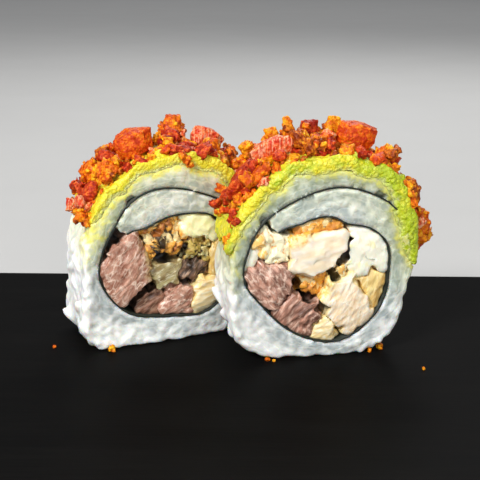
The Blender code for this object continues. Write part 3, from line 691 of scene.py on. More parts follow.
@dataclass(frozen=True)
class BaconFinish:
    """Fried bacon bits: oily, granular, with brighter crumbs of their own fat."""

    tone: BaconTone
    fat: Colour = (0.96, 0.60, 0.36)
    gloss: float = 0.2
    glow: float = 0.1
    reach: float = 0.4
    coat: float = 0.05
    patch_size: float = 1.4
    fine_size: float = 0.45
    grit_size: float = 0.75
    stripe_stretch: Triple = (2.2, 0.5, 0.35)
    relief: float = 0.28

    def make(self) -> bpy.types.Material:
        """Builds the material.

        Returns:
            The material of this tone.
        """
        middle, bright, dark = self.tone.value
        values = soft_glow(self.glow, self.reach, self.coat) | {"Specular IOR Level": self.gloss}
        wiring = Wiring(f"bacon_{self.tone.name.lower()}", values)
        spot = wiring.place()
        patch = wiring.grain(spot, self.patch_size, 3.0, 0.5)
        fine = wiring.grain(spot, self.fine_size, 3.0)
        grit = wiring.cells(spot, self.grit_size)
        colour = wiring.mix(patch.ramp(0.34, 0.60), dark, middle)
        colour = wiring.mix((patch * 0.5 + fine * 0.5).ramp(0.50, 0.66) * 0.85, colour, bright)
        if self.tone is BaconTone.ROSE:
            stripes = wiring.stretched(spot, self.stripe_stretch)
            fat = wiring.grain(stripes, 1.0, 2.0, 0.4).ramp(0.52, 0.60)
            colour = wiring.mix(fat * 0.65, colour, self.fat)
        # Painted shade: the bacon is darker in its hollows.
        colour = wiring.mix(wiring.value("hollow").ramp(0.1, 0.9) * 0.7, colour, dark)
        return wiring.finish(colour, 0.34 + 0.3 * fine, 1.0 - grit + fine * 0.6, self.relief)


class Shape:
    """A mesh under work, in millimetres of the row frame."""

    def __init__(self, mesh: bpy.types.Mesh) -> None:
        """Keeps the mesh."""
        self.mesh = mesh

    @classmethod
    def of_nodes(cls, *names: str) -> "Shape":
        """Copies the solids of CAD nodes and closes their seams.

        Args:
            names: the nodes to copy.

        Returns:
            One shape of all of them.
        """
        body = bmesh.new()
        for name in names:
            body.from_mesh(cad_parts[name].data)
        bmesh.ops.remove_doubles(body, verts=body.verts, dist=1e-3 * MM)
        bmesh.ops.scale(body, vec=(1 / MM,) * 3, verts=body.verts)
        return cls(from_bmesh(body))

    @classmethod
    def of_lumps(cls, lumps: list["Lump"], rounds: int, crag: float, block: float = 0.0) -> "Shape":
        """Builds many small balls, stretched, turned and pushed out of round.

        Args:
            lumps: where each ball is and its size.
            rounds: how often the ball's faces are split.
            crag: how far its points are pushed in or out, as a share of its size.
            block: 0 for balls, and up to 1 for cubes.

        Returns:
            One shape of all of them.
        """
        ball = bmesh.new()
        bmesh.ops.create_icosphere(ball, subdivisions=rounds, radius=1.0)
        unit = np.array([v.co for v in ball.verts])
        unit /= np.max(np.abs(unit), axis=1)[:, None] ** block
        faces = np.array([[v.index for v in f.verts] for f in ball.faces])
        ball.free()
        points, corners = [], []
        for number, lump in enumerate(lumps):
            pushed = unit
            if crag:
                push = 1 + crag * ripple(unit * 1.3, 1.0, 7.3 * number)
                push += 0.5 * crag * ripple(unit * 3.1, 1.0, 3.1 * number)
                pushed = unit * push[:, None]
            turned = (pushed * np.array(lump.half_sizes)) @ np.array(lump.turn).T
            corners.append(faces + number * len(unit))
            points.append(turned + np.array(lump.centre))
        mesh = bpy.data.meshes.new("lumps")
        mesh.from_pydata(np.concatenate(points).tolist(), [], np.concatenate(corners).tolist())
        return cls(mesh)

    def joined(self, other: "Shape") -> "Shape":
        """Puts this shape and another one in one mesh.

        Args:
            other: the other shape.

        Returns:
            The shape of both.
        """
        body = bmesh.new()
        body.from_mesh(self.mesh)
        body.from_mesh(other.mesh)
        return Shape(from_bmesh(body))

    def read(self, layer: bpy.types.bpy_prop_collection, name: str, width: int, kind: type) -> np.ndarray:
        """Reads a value of every point or edge of the mesh.

        Args:
            layer: the mesh's points, edges or normals.
            name: name of the value.
            width: how many numbers each value has.
            kind: kind of number that it is kept as.

        Returns:
            The values, one row each.
        """
        found = np.empty(len(layer) * width, kind)
        layer.foreach_get(name, found)
        return found.reshape(-1, width)

    def points(self) -> np.ndarray:
        """All points, one row each."""
        return self.read(self.mesh.vertices, "co", 3, np.float32).astype(float)

    def move_to(self, points: np.ndarray) -> None:
        """Puts the points at new places."""
        self.mesh.vertices.foreach_set("co", points.astype(np.float32).ravel())
        self.mesh.update()

    def normals(self) -> np.ndarray:
        """The outward direction at each point."""
        return self.read(self.mesh.vertex_normals, "vector", 3, np.float32).astype(float)

    def edges(self) -> np.ndarray:
        """The two point numbers of each edge."""
        return self.read(self.mesh.edges, "vertices", 2, np.int32)

    def tree(self) -> BVHTree:
        """A search tree of the surface."""
        faces = [list(p.vertices) for p in self.mesh.polygons]
        return BVHTree.FromPolygons([Vector(p) for p in self.points()], faces)

    def remesh(self, voxel: float) -> None:
        """Melts everything in the mesh into one even skin.

        Args:
            voxel: size of its squares in millimetres.
        """
        thing = bpy.data.objects.new("remesh", self.mesh)
        bpy.context.scene.collection.objects.link(thing)
        melt = thing.modifiers.new("melt", "REMESH")
        melt.mode = "VOXEL"
        melt.voxel_size = voxel
        graph = bpy.context.evaluated_depsgraph_get()
        graph.update()
        self.mesh = bpy.data.meshes.new_from_object(thing.evaluated_get(graph))
        bpy.data.objects.remove(thing)

    def blurred(self, values: np.ndarray, rounds: int) -> np.ndarray:
        """Evens out values over the surface.

        Args:
            values: one row or number for each point.
            rounds: how often each value is averaged with those around it.

        Returns:
            The evened values.
        """
        edges = self.edges()
        first, second = edges[:, 0], edges[:, 1]
        count = np.bincount(edges.ravel(), minlength=len(self.mesh.vertices)).astype(float)
        flat = values.reshape(len(values), -1).astype(float)
        for _ in range(rounds):
            total = flat.copy()
            for column in range(flat.shape[1]):
                total[:, column] += np.bincount(first, flat[second, column], len(flat))
                total[:, column] += np.bincount(second, flat[first, column], len(flat))
            flat = total / (count + 1)[:, None]
        return flat.reshape(values.shape)

    def relax(self, rounds: int) -> None:
        """Rounds off the surface."""
        self.move_to(self.blurred(self.points(), rounds))

    def swell(self, heights: np.ndarray) -> None:
        """Moves each point outwards by its height in millimetres."""
        self.move_to(self.points() + self.normals() * heights[:, None])

    def pull_to(self, tree: BVHTree, reach: float, rest: float, fade: float = 0.0) -> None:
        """Draws the points that are near a surface up to it.

        Args:
            tree: search tree of that surface.
            reach: distance in millimetres within which points are drawn.
            rest: the gap that is left, below 0 where the points sink in.
            fade: how much less the far points are drawn, 0 to 1.
        """
        points = self.points()
        for number, point in enumerate(points):
            spot, _, _, gap = tree.find_nearest(Vector(point), reach)
            if gap is not None and gap > max(rest, 0.02):
                share = (1 - rest / gap) * (1 - fade * gap / reach)
                points[number] += (np.array(spot) - point) * share
        self.move_to(points)

    def keep_hollows(self, rounds: int, depth: float, least: Union[np.ndarray, float] = 0.0) -> None:
        """Keeps how deep each point lies in a hollow, 0 to 1, as the value hollow, which the finishes use
        for painted shade.

        Args:
            rounds: how wide the hollows are that count, in rounds of blurring.
            depth: the depth in millimetres that counts as 1.
            least: the least value, for the whole shape or for each point.
        """
        points = self.points()
        under = np.einsum("ij,ij->i", self.blurred(points, rounds) - points, self.normals())
        self.keep_value("hollow", np.maximum(np.clip(0.5 + under / depth, 0, 1), least))

    def keep_value(self, name: str, values: np.ndarray) -> None:
        """Keeps a number at each point for the finish."""
        kept = self.mesh.attributes.new(name, "FLOAT", "POINT")
        kept.data.foreach_set("value", values.astype(np.float32))

    def keep_vector(self, name: str, vectors: np.ndarray) -> None:
        """Keeps a vector at each point for the finish."""
        kept = self.mesh.attributes.new(name, "FLOAT_VECTOR", "POINT")
        kept.data.foreach_set("vector", vectors.astype(np.float32).ravel())

    def done(self, name: str, material: bpy.types.Material, slot: str, *nodes: str) -> bpy.types.Object:
        """Turns the shape into a finished piece of the scene.

        Args:
            name: name of the piece.
            material: its finish.
            slot: the record's material slot; it is not used.
            nodes: the CAD nodes that it stands for.

        Returns:
            The piece.
        """
        self.move_to(self.points() * MM)
        self.mesh.name = name
        self.mesh.materials.clear()
        self.mesh.materials.append(material)
        self.mesh.polygons.foreach_set("use_smooth", [True] * len(self.mesh.polygons))
        piece = bpy.data.objects.new(name, self.mesh)
        bpy.context.scene.collection.objects.link(piece)
        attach(piece, BODY)
        if nodes:
            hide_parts(*nodes)
        LOG.info("%s: %d faces", name, len(self.mesh.polygons))
        return piece


@dataclass(frozen=True)
class Lump:
    """A ball to be built: its centre, its half sizes and its turn."""

    centre: Triple
    half_sizes: Triple
    turn: tuple[Triple, Triple, Triple]


def from_bmesh(body: bmesh.types.BMesh) -> bpy.types.Mesh:
    """Turns a bmesh into a mesh and frees it.

    Args:
        body: the bmesh.

    Returns:
        The mesh.
    """
    mesh = bpy.data.meshes.new("shape")
    body.to_mesh(mesh)
    body.free()
    return mesh


def ripple(points: np.ndarray, size: float, shift: float) -> np.ndarray:
    """Noise of about -1 to 1 at each point.

    Args:
        points: the points, one row each.
        size: size of the noise's spots.
        shift: a number that picks another noise.

    Returns:
        One value for each point.
    """
    return np.array([noise.noise(Vector(p)) for p in points / size + shift])


def chunks(points: np.ndarray, size: float, shift: float) -> tuple[np.ndarray, np.ndarray]:
    """Splits space into angular chunks.

    Args:
        points: the points, one row each.
        size: size of a chunk.
        shift: a number that picks another split.

    Returns:
        The chunk's own chance value, 0 to 1, and how near the point is to a seam, 0 to 1.
    """
    bent = points / size + shift
    bent += 0.5 * np.stack([ripple(points, 0.7 * size, shift + n) for n in range(3)], axis=1)
    bent += 0.2 * np.stack([ripple(points, 0.3 * size, shift + n) for n in range(3)], axis=1)
    own, seam = [], []
    for point in bent:
        gaps, centres = noise.voronoi(Vector(point))
        own.append(math.sin(centres[0].dot(Vector((12.99, 78.23, 37.72)))) * 0.5 + 0.5)
        seam.append(max(0.0, 1 - (gaps[1] - gaps[0]) / SEAM_WIDTH))
    return np.array(own), np.array(seam)


def distances(points: np.ndarray, tree: BVHTree, reach: float) -> np.ndarray:
    """How far each point is from a surface.

    Args:
        points: the points, one row each.
        tree: search tree of the surface.
        reach: distance beyond which it isn't measured.

    Returns:
        One distance for each point, at most reach.
    """
    found = [tree.find_nearest(Vector(p), reach)[3] for p in points]
    return np.array([reach if d is None else d for d in found])


def turn_to(out: Vector, along: Vector) -> tuple[Triple, Triple, Triple]:
    """Finds the turn that puts x along one direction and z outwards.

    Args:
        out: the outward direction.
        along: the other direction, as nearly as z allows.

    Returns:
        The rows of the turn.
    """
    z = out.normalized()
    x = (along - z * along.dot(z)).normalized()
    return tuple(map(tuple, Matrix((x, z.cross(x), z)).transposed()))


@dataclass(frozen=True)
class Stand:
    """Where one cut roll stands: its foot on the board, its turn, its length and its centre."""

    side: str
    foot: tuple[float, float]
    yaw: float
    length: float
    centre: tuple[float, float]

    def to_roll(self, points: np.ndarray) -> np.ndarray:
        """Row frame to the roll's own frame: across the cut face, back from it, and up.

        Args:
            points: points in the row frame, one row each.

        Returns:
            The same points in the roll's own frame.
        """
        turn = math.radians(self.yaw)
        over = points - np.array((*self.foot, BOARD_TOP + REST_GAP))
        across = over[:, 0] * math.cos(turn) + over[:, 1] * math.sin(turn)
        back = over[:, 1] * math.cos(turn) - over[:, 0] * math.sin(turn)
        return np.stack((across, back, over[:, 2]), axis=1)

    def direction(self, across: float, back: float, up: float) -> Vector:
        """A direction in the roll's own frame, in the row frame."""
        return Matrix.Rotation(math.radians(self.yaw), 3, "Z") @ Vector((across, back, up))

    @property
    def across(self) -> np.ndarray:
        """The direction across the cut face, in the row frame."""
        return np.array(self.direction(1, 0, 0))

    @property
    def back(self) -> np.ndarray:
        """The direction from the cut face back into the roll, in the row frame."""
        return np.array(self.direction(0, 1, 0))

    def round_centre(self, local: np.ndarray) -> tuple[np.ndarray, np.ndarray, np.ndarray]:
        """Where points lie round the middle of the cut face.

        Args:
            local: points in the roll's own frame, one row each.

        Returns:
            How far each is to the side of it, above it and away from it.
        """
        over, up = local[:, 0] - self.centre[0], local[:, 2] - self.centre[1]
        return over, up, np.hypot(over, up)

    def facing(self, shape: Shape) -> np.ndarray:
        """How squarely each point of a shape faces the front or the back, 0 to 1."""
        return np.abs(shape.normals() @ self.back)


@dataclass
class Scatter:
    """Places spread over a surface, none nearer to another than the spacing."""

    shape: Shape
    spacing: float
    tries: int
    draw: random.Random

    def places(self, keep: Callable[[Vector, Vector], bool]) -> list[tuple[Vector, Vector]]:
        """Spreads the places.

        Args:
            keep: says whether a place with its outward direction may be used.

        Returns:
            Each place and its outward direction.
        """
        points = self.shape.points()
        mesh = self.shape.mesh
        mesh.calc_loop_triangles()
        corners = [tuple(t.vertices) for t in mesh.loop_triangles]
        normals = [t.normal.copy() for t in mesh.loop_triangles]
        areas = [t.area for t in mesh.loop_triangles]
        taken: list[tuple[Vector, Vector]] = []
        kept = np.empty((0, 3))
        for number in self.draw.choices(range(len(corners)), areas, k=self.tries):
            a, b = self.draw.random(), self.draw.random()
            if a + b > 1:
                a, b = 1 - a, 1 - b
            p, q, r = (points[n] for n in corners[number])
            spot = p + (q - p) * a + (r - p) * b
            if len(kept) and np.min(np.linalg.norm(kept - spot, axis=1)) < self.spacing:
                continue
            if keep(Vector(spot), normals[number]):
                taken.append((Vector(spot), normals[number]))
                kept = np.vstack((kept, spot))
        return taken


@dataclass
class Rice:
    """The spiral of rice of one roll: its CAD core with whole and cut grains melted into it."""

    stand: Stand
    half_sizes: Triple = (2.5, 1.05, 0.95)
    spacing: float = 1.45
    tries: int = 8000
    turns: int = 8
    voxel: float = 0.385
    clear: float = 0.6
    mash_clear: float = 0.9
    foot_clear: float = 0.8
    climb: float = 2.4
    climb_fade: float = 0.7
    mash_bite: float = 0.15
    nori_reach: float = 0.62
    nori_bite: float = 0.05
    smears: tuple[Spot, ...] = ()
    sink: float = 0.48
    cut_sink: float = 0.56
    sink_spread: tuple[float, float] = (-0.12, 0.2)
    size_spread: tuple[float, float] = (0.85, 1.12)
    tip: float = 0.8
    lift: float = 0.7
    rind_reach: float = 5.0
    oil_reach: float = 14.0
    stain_reach: float = 5.0
    core_reach: float = 2.4
    ring_scale: float = 20.0

    def build(self, material: bpy.types.Material, rest: BVHTree, mash: BVHTree) -> bpy.types.Object:
        """Builds and dresses the rice.

        Args:
            material: its finish.
            rest: search tree of the nori, which the grains keep clear of.
            mash: search tree of the avocado.

        Returns:
            The piece.
        """
        node = f"{self.stand.side}_rice"
        draw = random.Random(f"{SEED}{node}")
        shape = Shape.of_nodes(node)
        core = shape.tree()
        scatter = Scatter(shape, self.spacing, self.tries, draw)
        places = scatter.places(lambda spot, out: self.may_lie(spot, out, rest, mash))
        found = [self.grain(spot, out, draw, core, rest, mash) for spot, out in places]
        grains = [grain for grain in found if grain is not None]
        shape = shape.joined(Shape.of_lumps(grains, 2, 0.0))
        shape.remesh(self.voxel)
        shape.relax(2)
        shape.pull_to(mash, self.climb, -self.mash_bite, self.climb_fade)
        shape.pull_to(rest, self.nori_reach, -self.nori_bite)
        self.settle(shape)
        self.keep_looks(shape, grains, mash, rest)
        return shape.done(f"{node}_grains", material, "rice", node)

    def may_lie(self, spot: Vector, out: Vector, rest: BVHTree, mash: BVHTree) -> bool:
        """Whether a grain may lie at a place, which the underside of the roll is not."""
        under = spot.z < BOARD_TOP + self.foot_clear and out.z < -0.5
        return not under and self.is_clear(spot, rest, mash)

    def is_clear(self, spot: Vector, rest: BVHTree, mash: BVHTree) -> bool:
        """Whether a place is clear of the nori and of the avocado."""
        on_mash = mash.find_nearest(spot, self.mash_clear)[3] is not None
        return not on_mash and rest.find_nearest(spot, self.clear)[3] is None

    def grain(
        self, spot: Vector, out: Vector, draw: random.Random, core: BVHTree, rest: BVHTree, mash: BVHTree
    ) -> Optional[Lump]:
        """One grain half sunk in the surface, turned so that both its ends stay on it.

        Args:
            spot: where it lies.
            out: outward direction there.
            draw: source of chance.
            core: search tree of the core.
            rest: search tree of the nori, which the ends keep clear of.
            mash: search tree of the avocado, which they keep clear of too.

        Returns:
            The grain, or None where none fits.
        """
        size = draw.uniform(*self.size_spread)
        half_sizes = tuple(half * size for half in self.half_sizes)
        cut = abs(out.dot(self.stand.direction(0, 1, 0))) > 0.8
        sink = (self.cut_sink if cut else self.sink) + draw.uniform(*self.sink_spread)
        centre = spot - out * (half_sizes[2] * sink)
        for _ in range(self.turns):
            along = Vector([draw.uniform(-1, 1) for _ in range(3)])
            along = (along - out * along.dot(out)).normalized() * half_sizes[0] * self.tip
            ends = (centre + along, centre - along)
            if not all(self.is_clear(end, rest, mash) for end in ends):
                continue
            if max(core.find_nearest(end)[3] for end in ends) < half_sizes[2] * self.lift:
                return Lump(tuple(centre), half_sizes, turn_to(out, along))
        return None

    def settle(self, shape: Shape) -> None:
        """Keeps the rice on the board, with a flat foot.

        Args:
            shape: the rice.
        """
        points = shape.points()
        points[:, 2] = np.maximum(points[:, 2], BOARD_TOP + REST_GAP)
        shape.move_to(points)

    def keep_looks(self, shape: Shape, grains: list[Lump], mash: BVHTree, rest: BVHTree) -> None:
        """Keeps each grain's tone, its cloudy core and how near the avocado and the nori are.

        Args:
            shape: the finished rice.
            grains: its grains.
            mash: search tree of the avocado.
            rest: search tree of the nori.
        """
        points = shape.points()
        tree = KDTree(len(grains))
        for number, grain in enumerate(grains):
            tree.insert(grain.centre, number)
        tree.balance()
        draw = random.Random(f"{SEED}tones")
        tones = [draw.random() for _ in grains]
        nearest = [tree.find(p)[1:] for p in points]
        tone = np.array([tones[number] for number, _ in nearest])
        core = np.array([max(0.0, 1 - gap / self.core_reach) for _, gap in nearest])
        shape.keep_value("rind", distances(points, rest, self.rind_reach) / self.rind_reach)
        shape.keep_value("tone", shape.blurred(tone, 2))
        shape.keep_value("core", core)
        to_mash = distances(points, mash, self.oil_reach)
        shape.keep_value("oil", 1 - to_mash / self.oil_reach)
        near = 1 - np.clip(to_mash / self.stain_reach, 0, 1)
        local = self.stand.to_roll(points)
        for *centre, reach in self.smears:
            away = np.linalg.norm((local - np.array(centre)) * np.array((1, 1, 0.5)), axis=1)
            near = np.maximum(near, 1.02 - away / reach)
        shape.keep_value("near_avocado", np.clip(near, 0, 1))
        shape.keep_value("cut", shape.blurred((self.stand.facing(shape) > 0.75).astype(float), 5))
        shape.keep_hollows(4, 0.30)
        over, up, radius = self.stand.round_centre(local)
        ring = np.stack((np.arctan2(up, over) * self.ring_scale, radius, local[:, 1]), axis=1)
        shape.keep_vector("ring", ring)


@dataclass
class Nori:
    """The sheet of nori of one roll, with ragged cut edges and a crinkled face."""

    stand: Stand
    crinkle: float = 0.10
    pared: float = 0.08
    ragged: float = 0.30
    edge_width: float = 0.5

    def build(self, material: bpy.types.Material) -> bpy.types.Object:
        """Builds and dresses the nori.

        Args:
            material: its finish.

        Returns:
            The piece.
        """
        node = f"{self.stand.side}_nori"
        shape = Shape.of_nodes(node)
        body = bmesh.new()
        body.from_mesh(shape.mesh)
        bmesh.ops.subdivide_edges(body, edges=body.edges, cuts=3, use_grid_fill=True)
        shape = Shape(from_bmesh(body))
        points = shape.points()
        pared = self.pared * (1 + 0.5 * ripple(points, 4.0, 1.0))
        shape.swell(self.crinkle * ripple(points, 1.1, 4.0) - pared)
        points = shape.points()
        local = self.stand.to_roll(points)
        middle = self.stand.length / 2
        inside = middle - np.abs(local[:, 1] - middle)
        edge = np.clip(1 - inside / self.edge_width, 0, 1)
        push = self.ragged * edge * (0.5 + 0.8 * ripple(local * np.array((1, 0, 1)), 0.9, 9.0))
        shape.move_to(points + self.stand.back * (np.sign(local[:, 1] - middle) * push)[:, None])
        return shape.done(f"{node}_sheet", material, "nori", node)


class Relief(Enum):
    """How the surface of a filling is worked."""

    STRANDS = "strands"
    CRUMBS = "crumbs"
    SMOOTH = "smooth"


@dataclass(frozen=True)
class Filling:
    """One filling: its CAD node, its finish and slot, its relief and how its fibres run."""

    node: str
    finish: str
    slot: str
    relief: Relief
    turn: float = 0.0
    fibre: Triple = (0.35, 1.0, 0.5)
    rough: float = 0.35
    grain: float = 2.2
    bend: Optional[tuple[float, float]] = None
    coated: Optional[tuple[float, float]] = None
    proud: float = 0.0
    fine: float = 0.6


@dataclass
class FillingPiece:
    """One piece of filling, worked from its CAD solid."""

    stand: Stand
    filling: Filling
    gaps: tuple[Triple, ...] = ()
    voxel: float = 0.33
    rim_width: float = 1.0
    reach: float = 4.0
    most: float = 1.8
    squeeze: float = 0.08
    retreat: float = 0.5
    open_retreat: float = 0.9
    front_depth: float = 5.0
    gap_shade_start: float = 0.3
    gap_shade_fade: float = 0.8
    chunk_flatness: Triple = (1.0, 1.0, 0.6)
    waves: tuple[tuple[float, float, float], ...] = ((1.5, 3.4, 0.0), (0.5, 1.1, 1.0))

    def build(self, material: bpy.types.Material, nori: BVHTree, others: BVHTree) -> bpy.types.Object:
        """Builds and dresses the filling.

        Args:
            material: its finish.
            nori: search tree of the nori.
            others: search tree of the other fillings.

        Returns:
            The piece.
        """
        node = f"{self.stand.side}_{self.filling.node}"
        shape = Shape.of_nodes(node)
        shape.remesh(self.voxel)
        opened = self.press(shape, nori, others)
        shape.relax(1)
        weave = self.weave(shape)
        shape.keep_vector("weave", weave)
        if self.filling.relief is Relief.CRUMBS:
            chunk, seam = chunks(weave * np.array(self.chunk_flatness), self.filling.grain, 4.4)
            shape.keep_value("chunk", chunk)
            shape.keep_value("seam", seam)
            shape.swell(self.crumbly(weave, chunk, seam))
        else:
            shape.swell(self.height(weave))
        shape.keep_value("rim", self.rim(shape))
        if self.filling.coated is not None:
            shape.keep_value("coated", self.coated(shape))
        points = shape.points()
        # The value void carries painted shade: nearly black in the roll's gaps, fading in behind the cut
        # face.
        depth = (self.stand.to_roll(points)[:, 1] - self.gap_shade_start) / self.gap_shade_fade
        shape.keep_value("void", shape.blurred(opened, 2) * np.clip(depth, 0, 1))
        # The value hollow is at least 0.8 around the roll's gaps, for painted shade there.
        shape.keep_hollows(5, 0.55, 0.8 * self.opened(points))
        return shape.done(f"{node}_piece", material, self.filling.slot, node)

    def opened(self, points: np.ndarray) -> np.ndarray:
        """How much each point lies in one of the roll's dark gaps.

        Args:
            points: the points, one row each.

        Returns:
            1 in a gap, 0 away from it.
        """
        local = self.stand.to_roll(points)
        found = np.zeros(len(points))
        for across, up, reach in self.gaps:
            away = np.hypot(local[:, 0] - across, local[:, 2] - up)
            found = np.maximum(found, np.clip(1.5 * (1 - away / reach), 0, 1))
        return found

    def press(self, shape: Shape, nori: BVHTree, others: BVHTree) -> np.ndarray:
        """Presses the piece against its neighbours, along one wavy seam that they share.

        Args:
            shape: the piece.
            nori: search tree of the nori.
            others: search tree of the other fillings.

        Returns:
            How much each point lies in one of the roll's dark gaps.
        """
        points = shape.points()
        back = self.stand.back
        aside = shape.normals()
        aside -= np.outer(aside @ back, back)
        to_nori = distances(points, nori, 3.0)
        grow = np.zeros(len(points))
        for number in np.flatnonzero(np.linalg.norm(aside, axis=1) > 0.5):
            start, way = Vector(points[number]), Vector(aside[number])
            beside = others.ray_cast(start, way, self.reach)[3]
            wall = nori.ray_cast(start, way, self.reach)[3]
            room = [gap for gap in (beside and beside / 2, wall and wall + self.squeeze) if gap is not None]
            grow[number] = min(room, default=0.0)
        grow = shape.blurred(np.clip(grow, 0, self.most), 2)
        crevice = np.clip(ripple(points, 2.6, 6.0) * 2.6 - 0.5, 0, 1) * np.clip(to_nori - 0.6, 0, 1)
        opened = self.opened(points)
        crevice = np.maximum(crevice, opened)
        inward = self.retreat * crevice + self.open_retreat * opened
        points += aside * (grow * (1 - crevice) - inward)[:, None]
        front = np.clip(1 - self.stand.to_roll(points)[:, 1] / self.front_depth, 0, 1)
        points -= np.outer(self.filling.proud * front, back)
        to_nori = distances(points, nori, 2.0)
        local = self.stand.to_roll(points) * np.array((1, 0.3, 1))
        fade = np.clip(to_nori / 2.0 - 0.1, 0, 1)[:, None]
        over, up = (
            sum(far * ripple(local, size, first + later) for far, size, later in self.waves)
            for first in (1.0, 3.0)
        )
        shape.move_to(points + fade * (np.outer(over, self.stand.across) + np.outer(up, (0, 0, 1))))
        return opened

    def weave(self, shape: Shape) -> np.ndarray:
        """Places on the piece in millimetres, with the first axis along its fibres.

        Args:
            shape: the piece.

        Returns:
            One row for each point.
        """
        local = self.stand.to_roll(shape.points())
        if self.filling.bend is not None:
            across = local[:, 0] - self.filling.bend[0]
            up = local[:, 2] - self.filling.bend[1]
            radius = np.hypot(across, up)
            arc = np.arctan2(up, across) * radius.mean()
            return np.stack((arc, radius, local[:, 1]), axis=1)
        turn = math.radians(self.filling.turn)
        along = local[:, 0] * math.cos(turn) + local[:, 2] * math.sin(turn)
        aside = local[:, 2] * math.cos(turn) - local[:, 0] * math.sin(turn)
        return np.stack((along, aside, local[:, 1]), axis=1)

    @property
    def shift(self) -> float:
        """A number of its own for each filling, which picks its noise."""
        return sum(map(ord, self.filling.node)) * 0.37

    def crumbly(self, weave: np.ndarray, chunk: np.ndarray, seam: np.ndarray) -> np.ndarray:
        """How far each point of a crumbly filling is moved outwards.

        Args:
            weave: places along the fibres.
            chunk: chance value of the chunk that each point is in.
            seam: how near each point is to a seam between chunks.

        Returns:
            One height for each point, in millimetres.
        """
        void = np.clip(ripple(weave, 2.0, self.shift + 3.0) * 3.0 - 0.6, 0, 1)
        lumps = 1.1 * chunk - 0.9 * seam - 2.0 * void + self.filling.fine * ripple(weave, 0.8, self.shift)
        return self.filling.rough * (lumps - 0.3)

    def height(self, weave: np.ndarray) -> np.ndarray:
        """How far each point of a stranded or smooth filling is moved outwards.

        Args:
            weave: places along the fibres.

        Returns:
            One height for each point, in millimetres.
        """
        shift = self.shift
        strands = weave * np.array(self.filling.fibre)
        if self.filling.relief is Relief.STRANDS:
            ridges = 0.8 * ripple(strands, 0.75, shift) + 0.5 * ripple(strands * 0.6, 1.6, shift)
            torn = np.clip(ripple(strands, 1.5, shift + 5.0) * 2.4 - 0.9, 0, 1)
            return self.filling.rough * (ridges - 1.3 * torn)
        return self.filling.rough * (ripple(weave, 2.4, shift) + 0.3 * ripple(weave, 0.9, shift))

    def coated(self, shape: Shape) -> np.ndarray:
        """How much of the fried coat lies at each point, on the side that the filling names.

        Args:
            shape: the piece.

        Returns:
            1 in the coat, 0 away from it.
        """
        local = self.stand.to_roll(shape.points())[:, (0, 2)]
        middle = (local.max(axis=0) + local.min(axis=0)) / 2
        half = (local.max(axis=0) - local.min(axis=0)) / 2
        toward = ((local - middle) / half) @ np.array(self.filling.coated)
        uneven = 0.25 * ripple(shape.points(), 1.8, 3.0)
        return np.clip((toward + uneven - 0.62) / 0.22, 0, 1)

    def rim(self, shape: Shape) -> np.ndarray:
        """How near each point is to the piece's long sides.

        Args:
            shape: the piece.

        Returns:
            1 on the sides, 0 in the middle of the cut faces.
        """
        sides = (self.stand.facing(shape) < 0.6).astype(float)
        return shape.blurred(sides, round(self.rim_width / self.voxel))


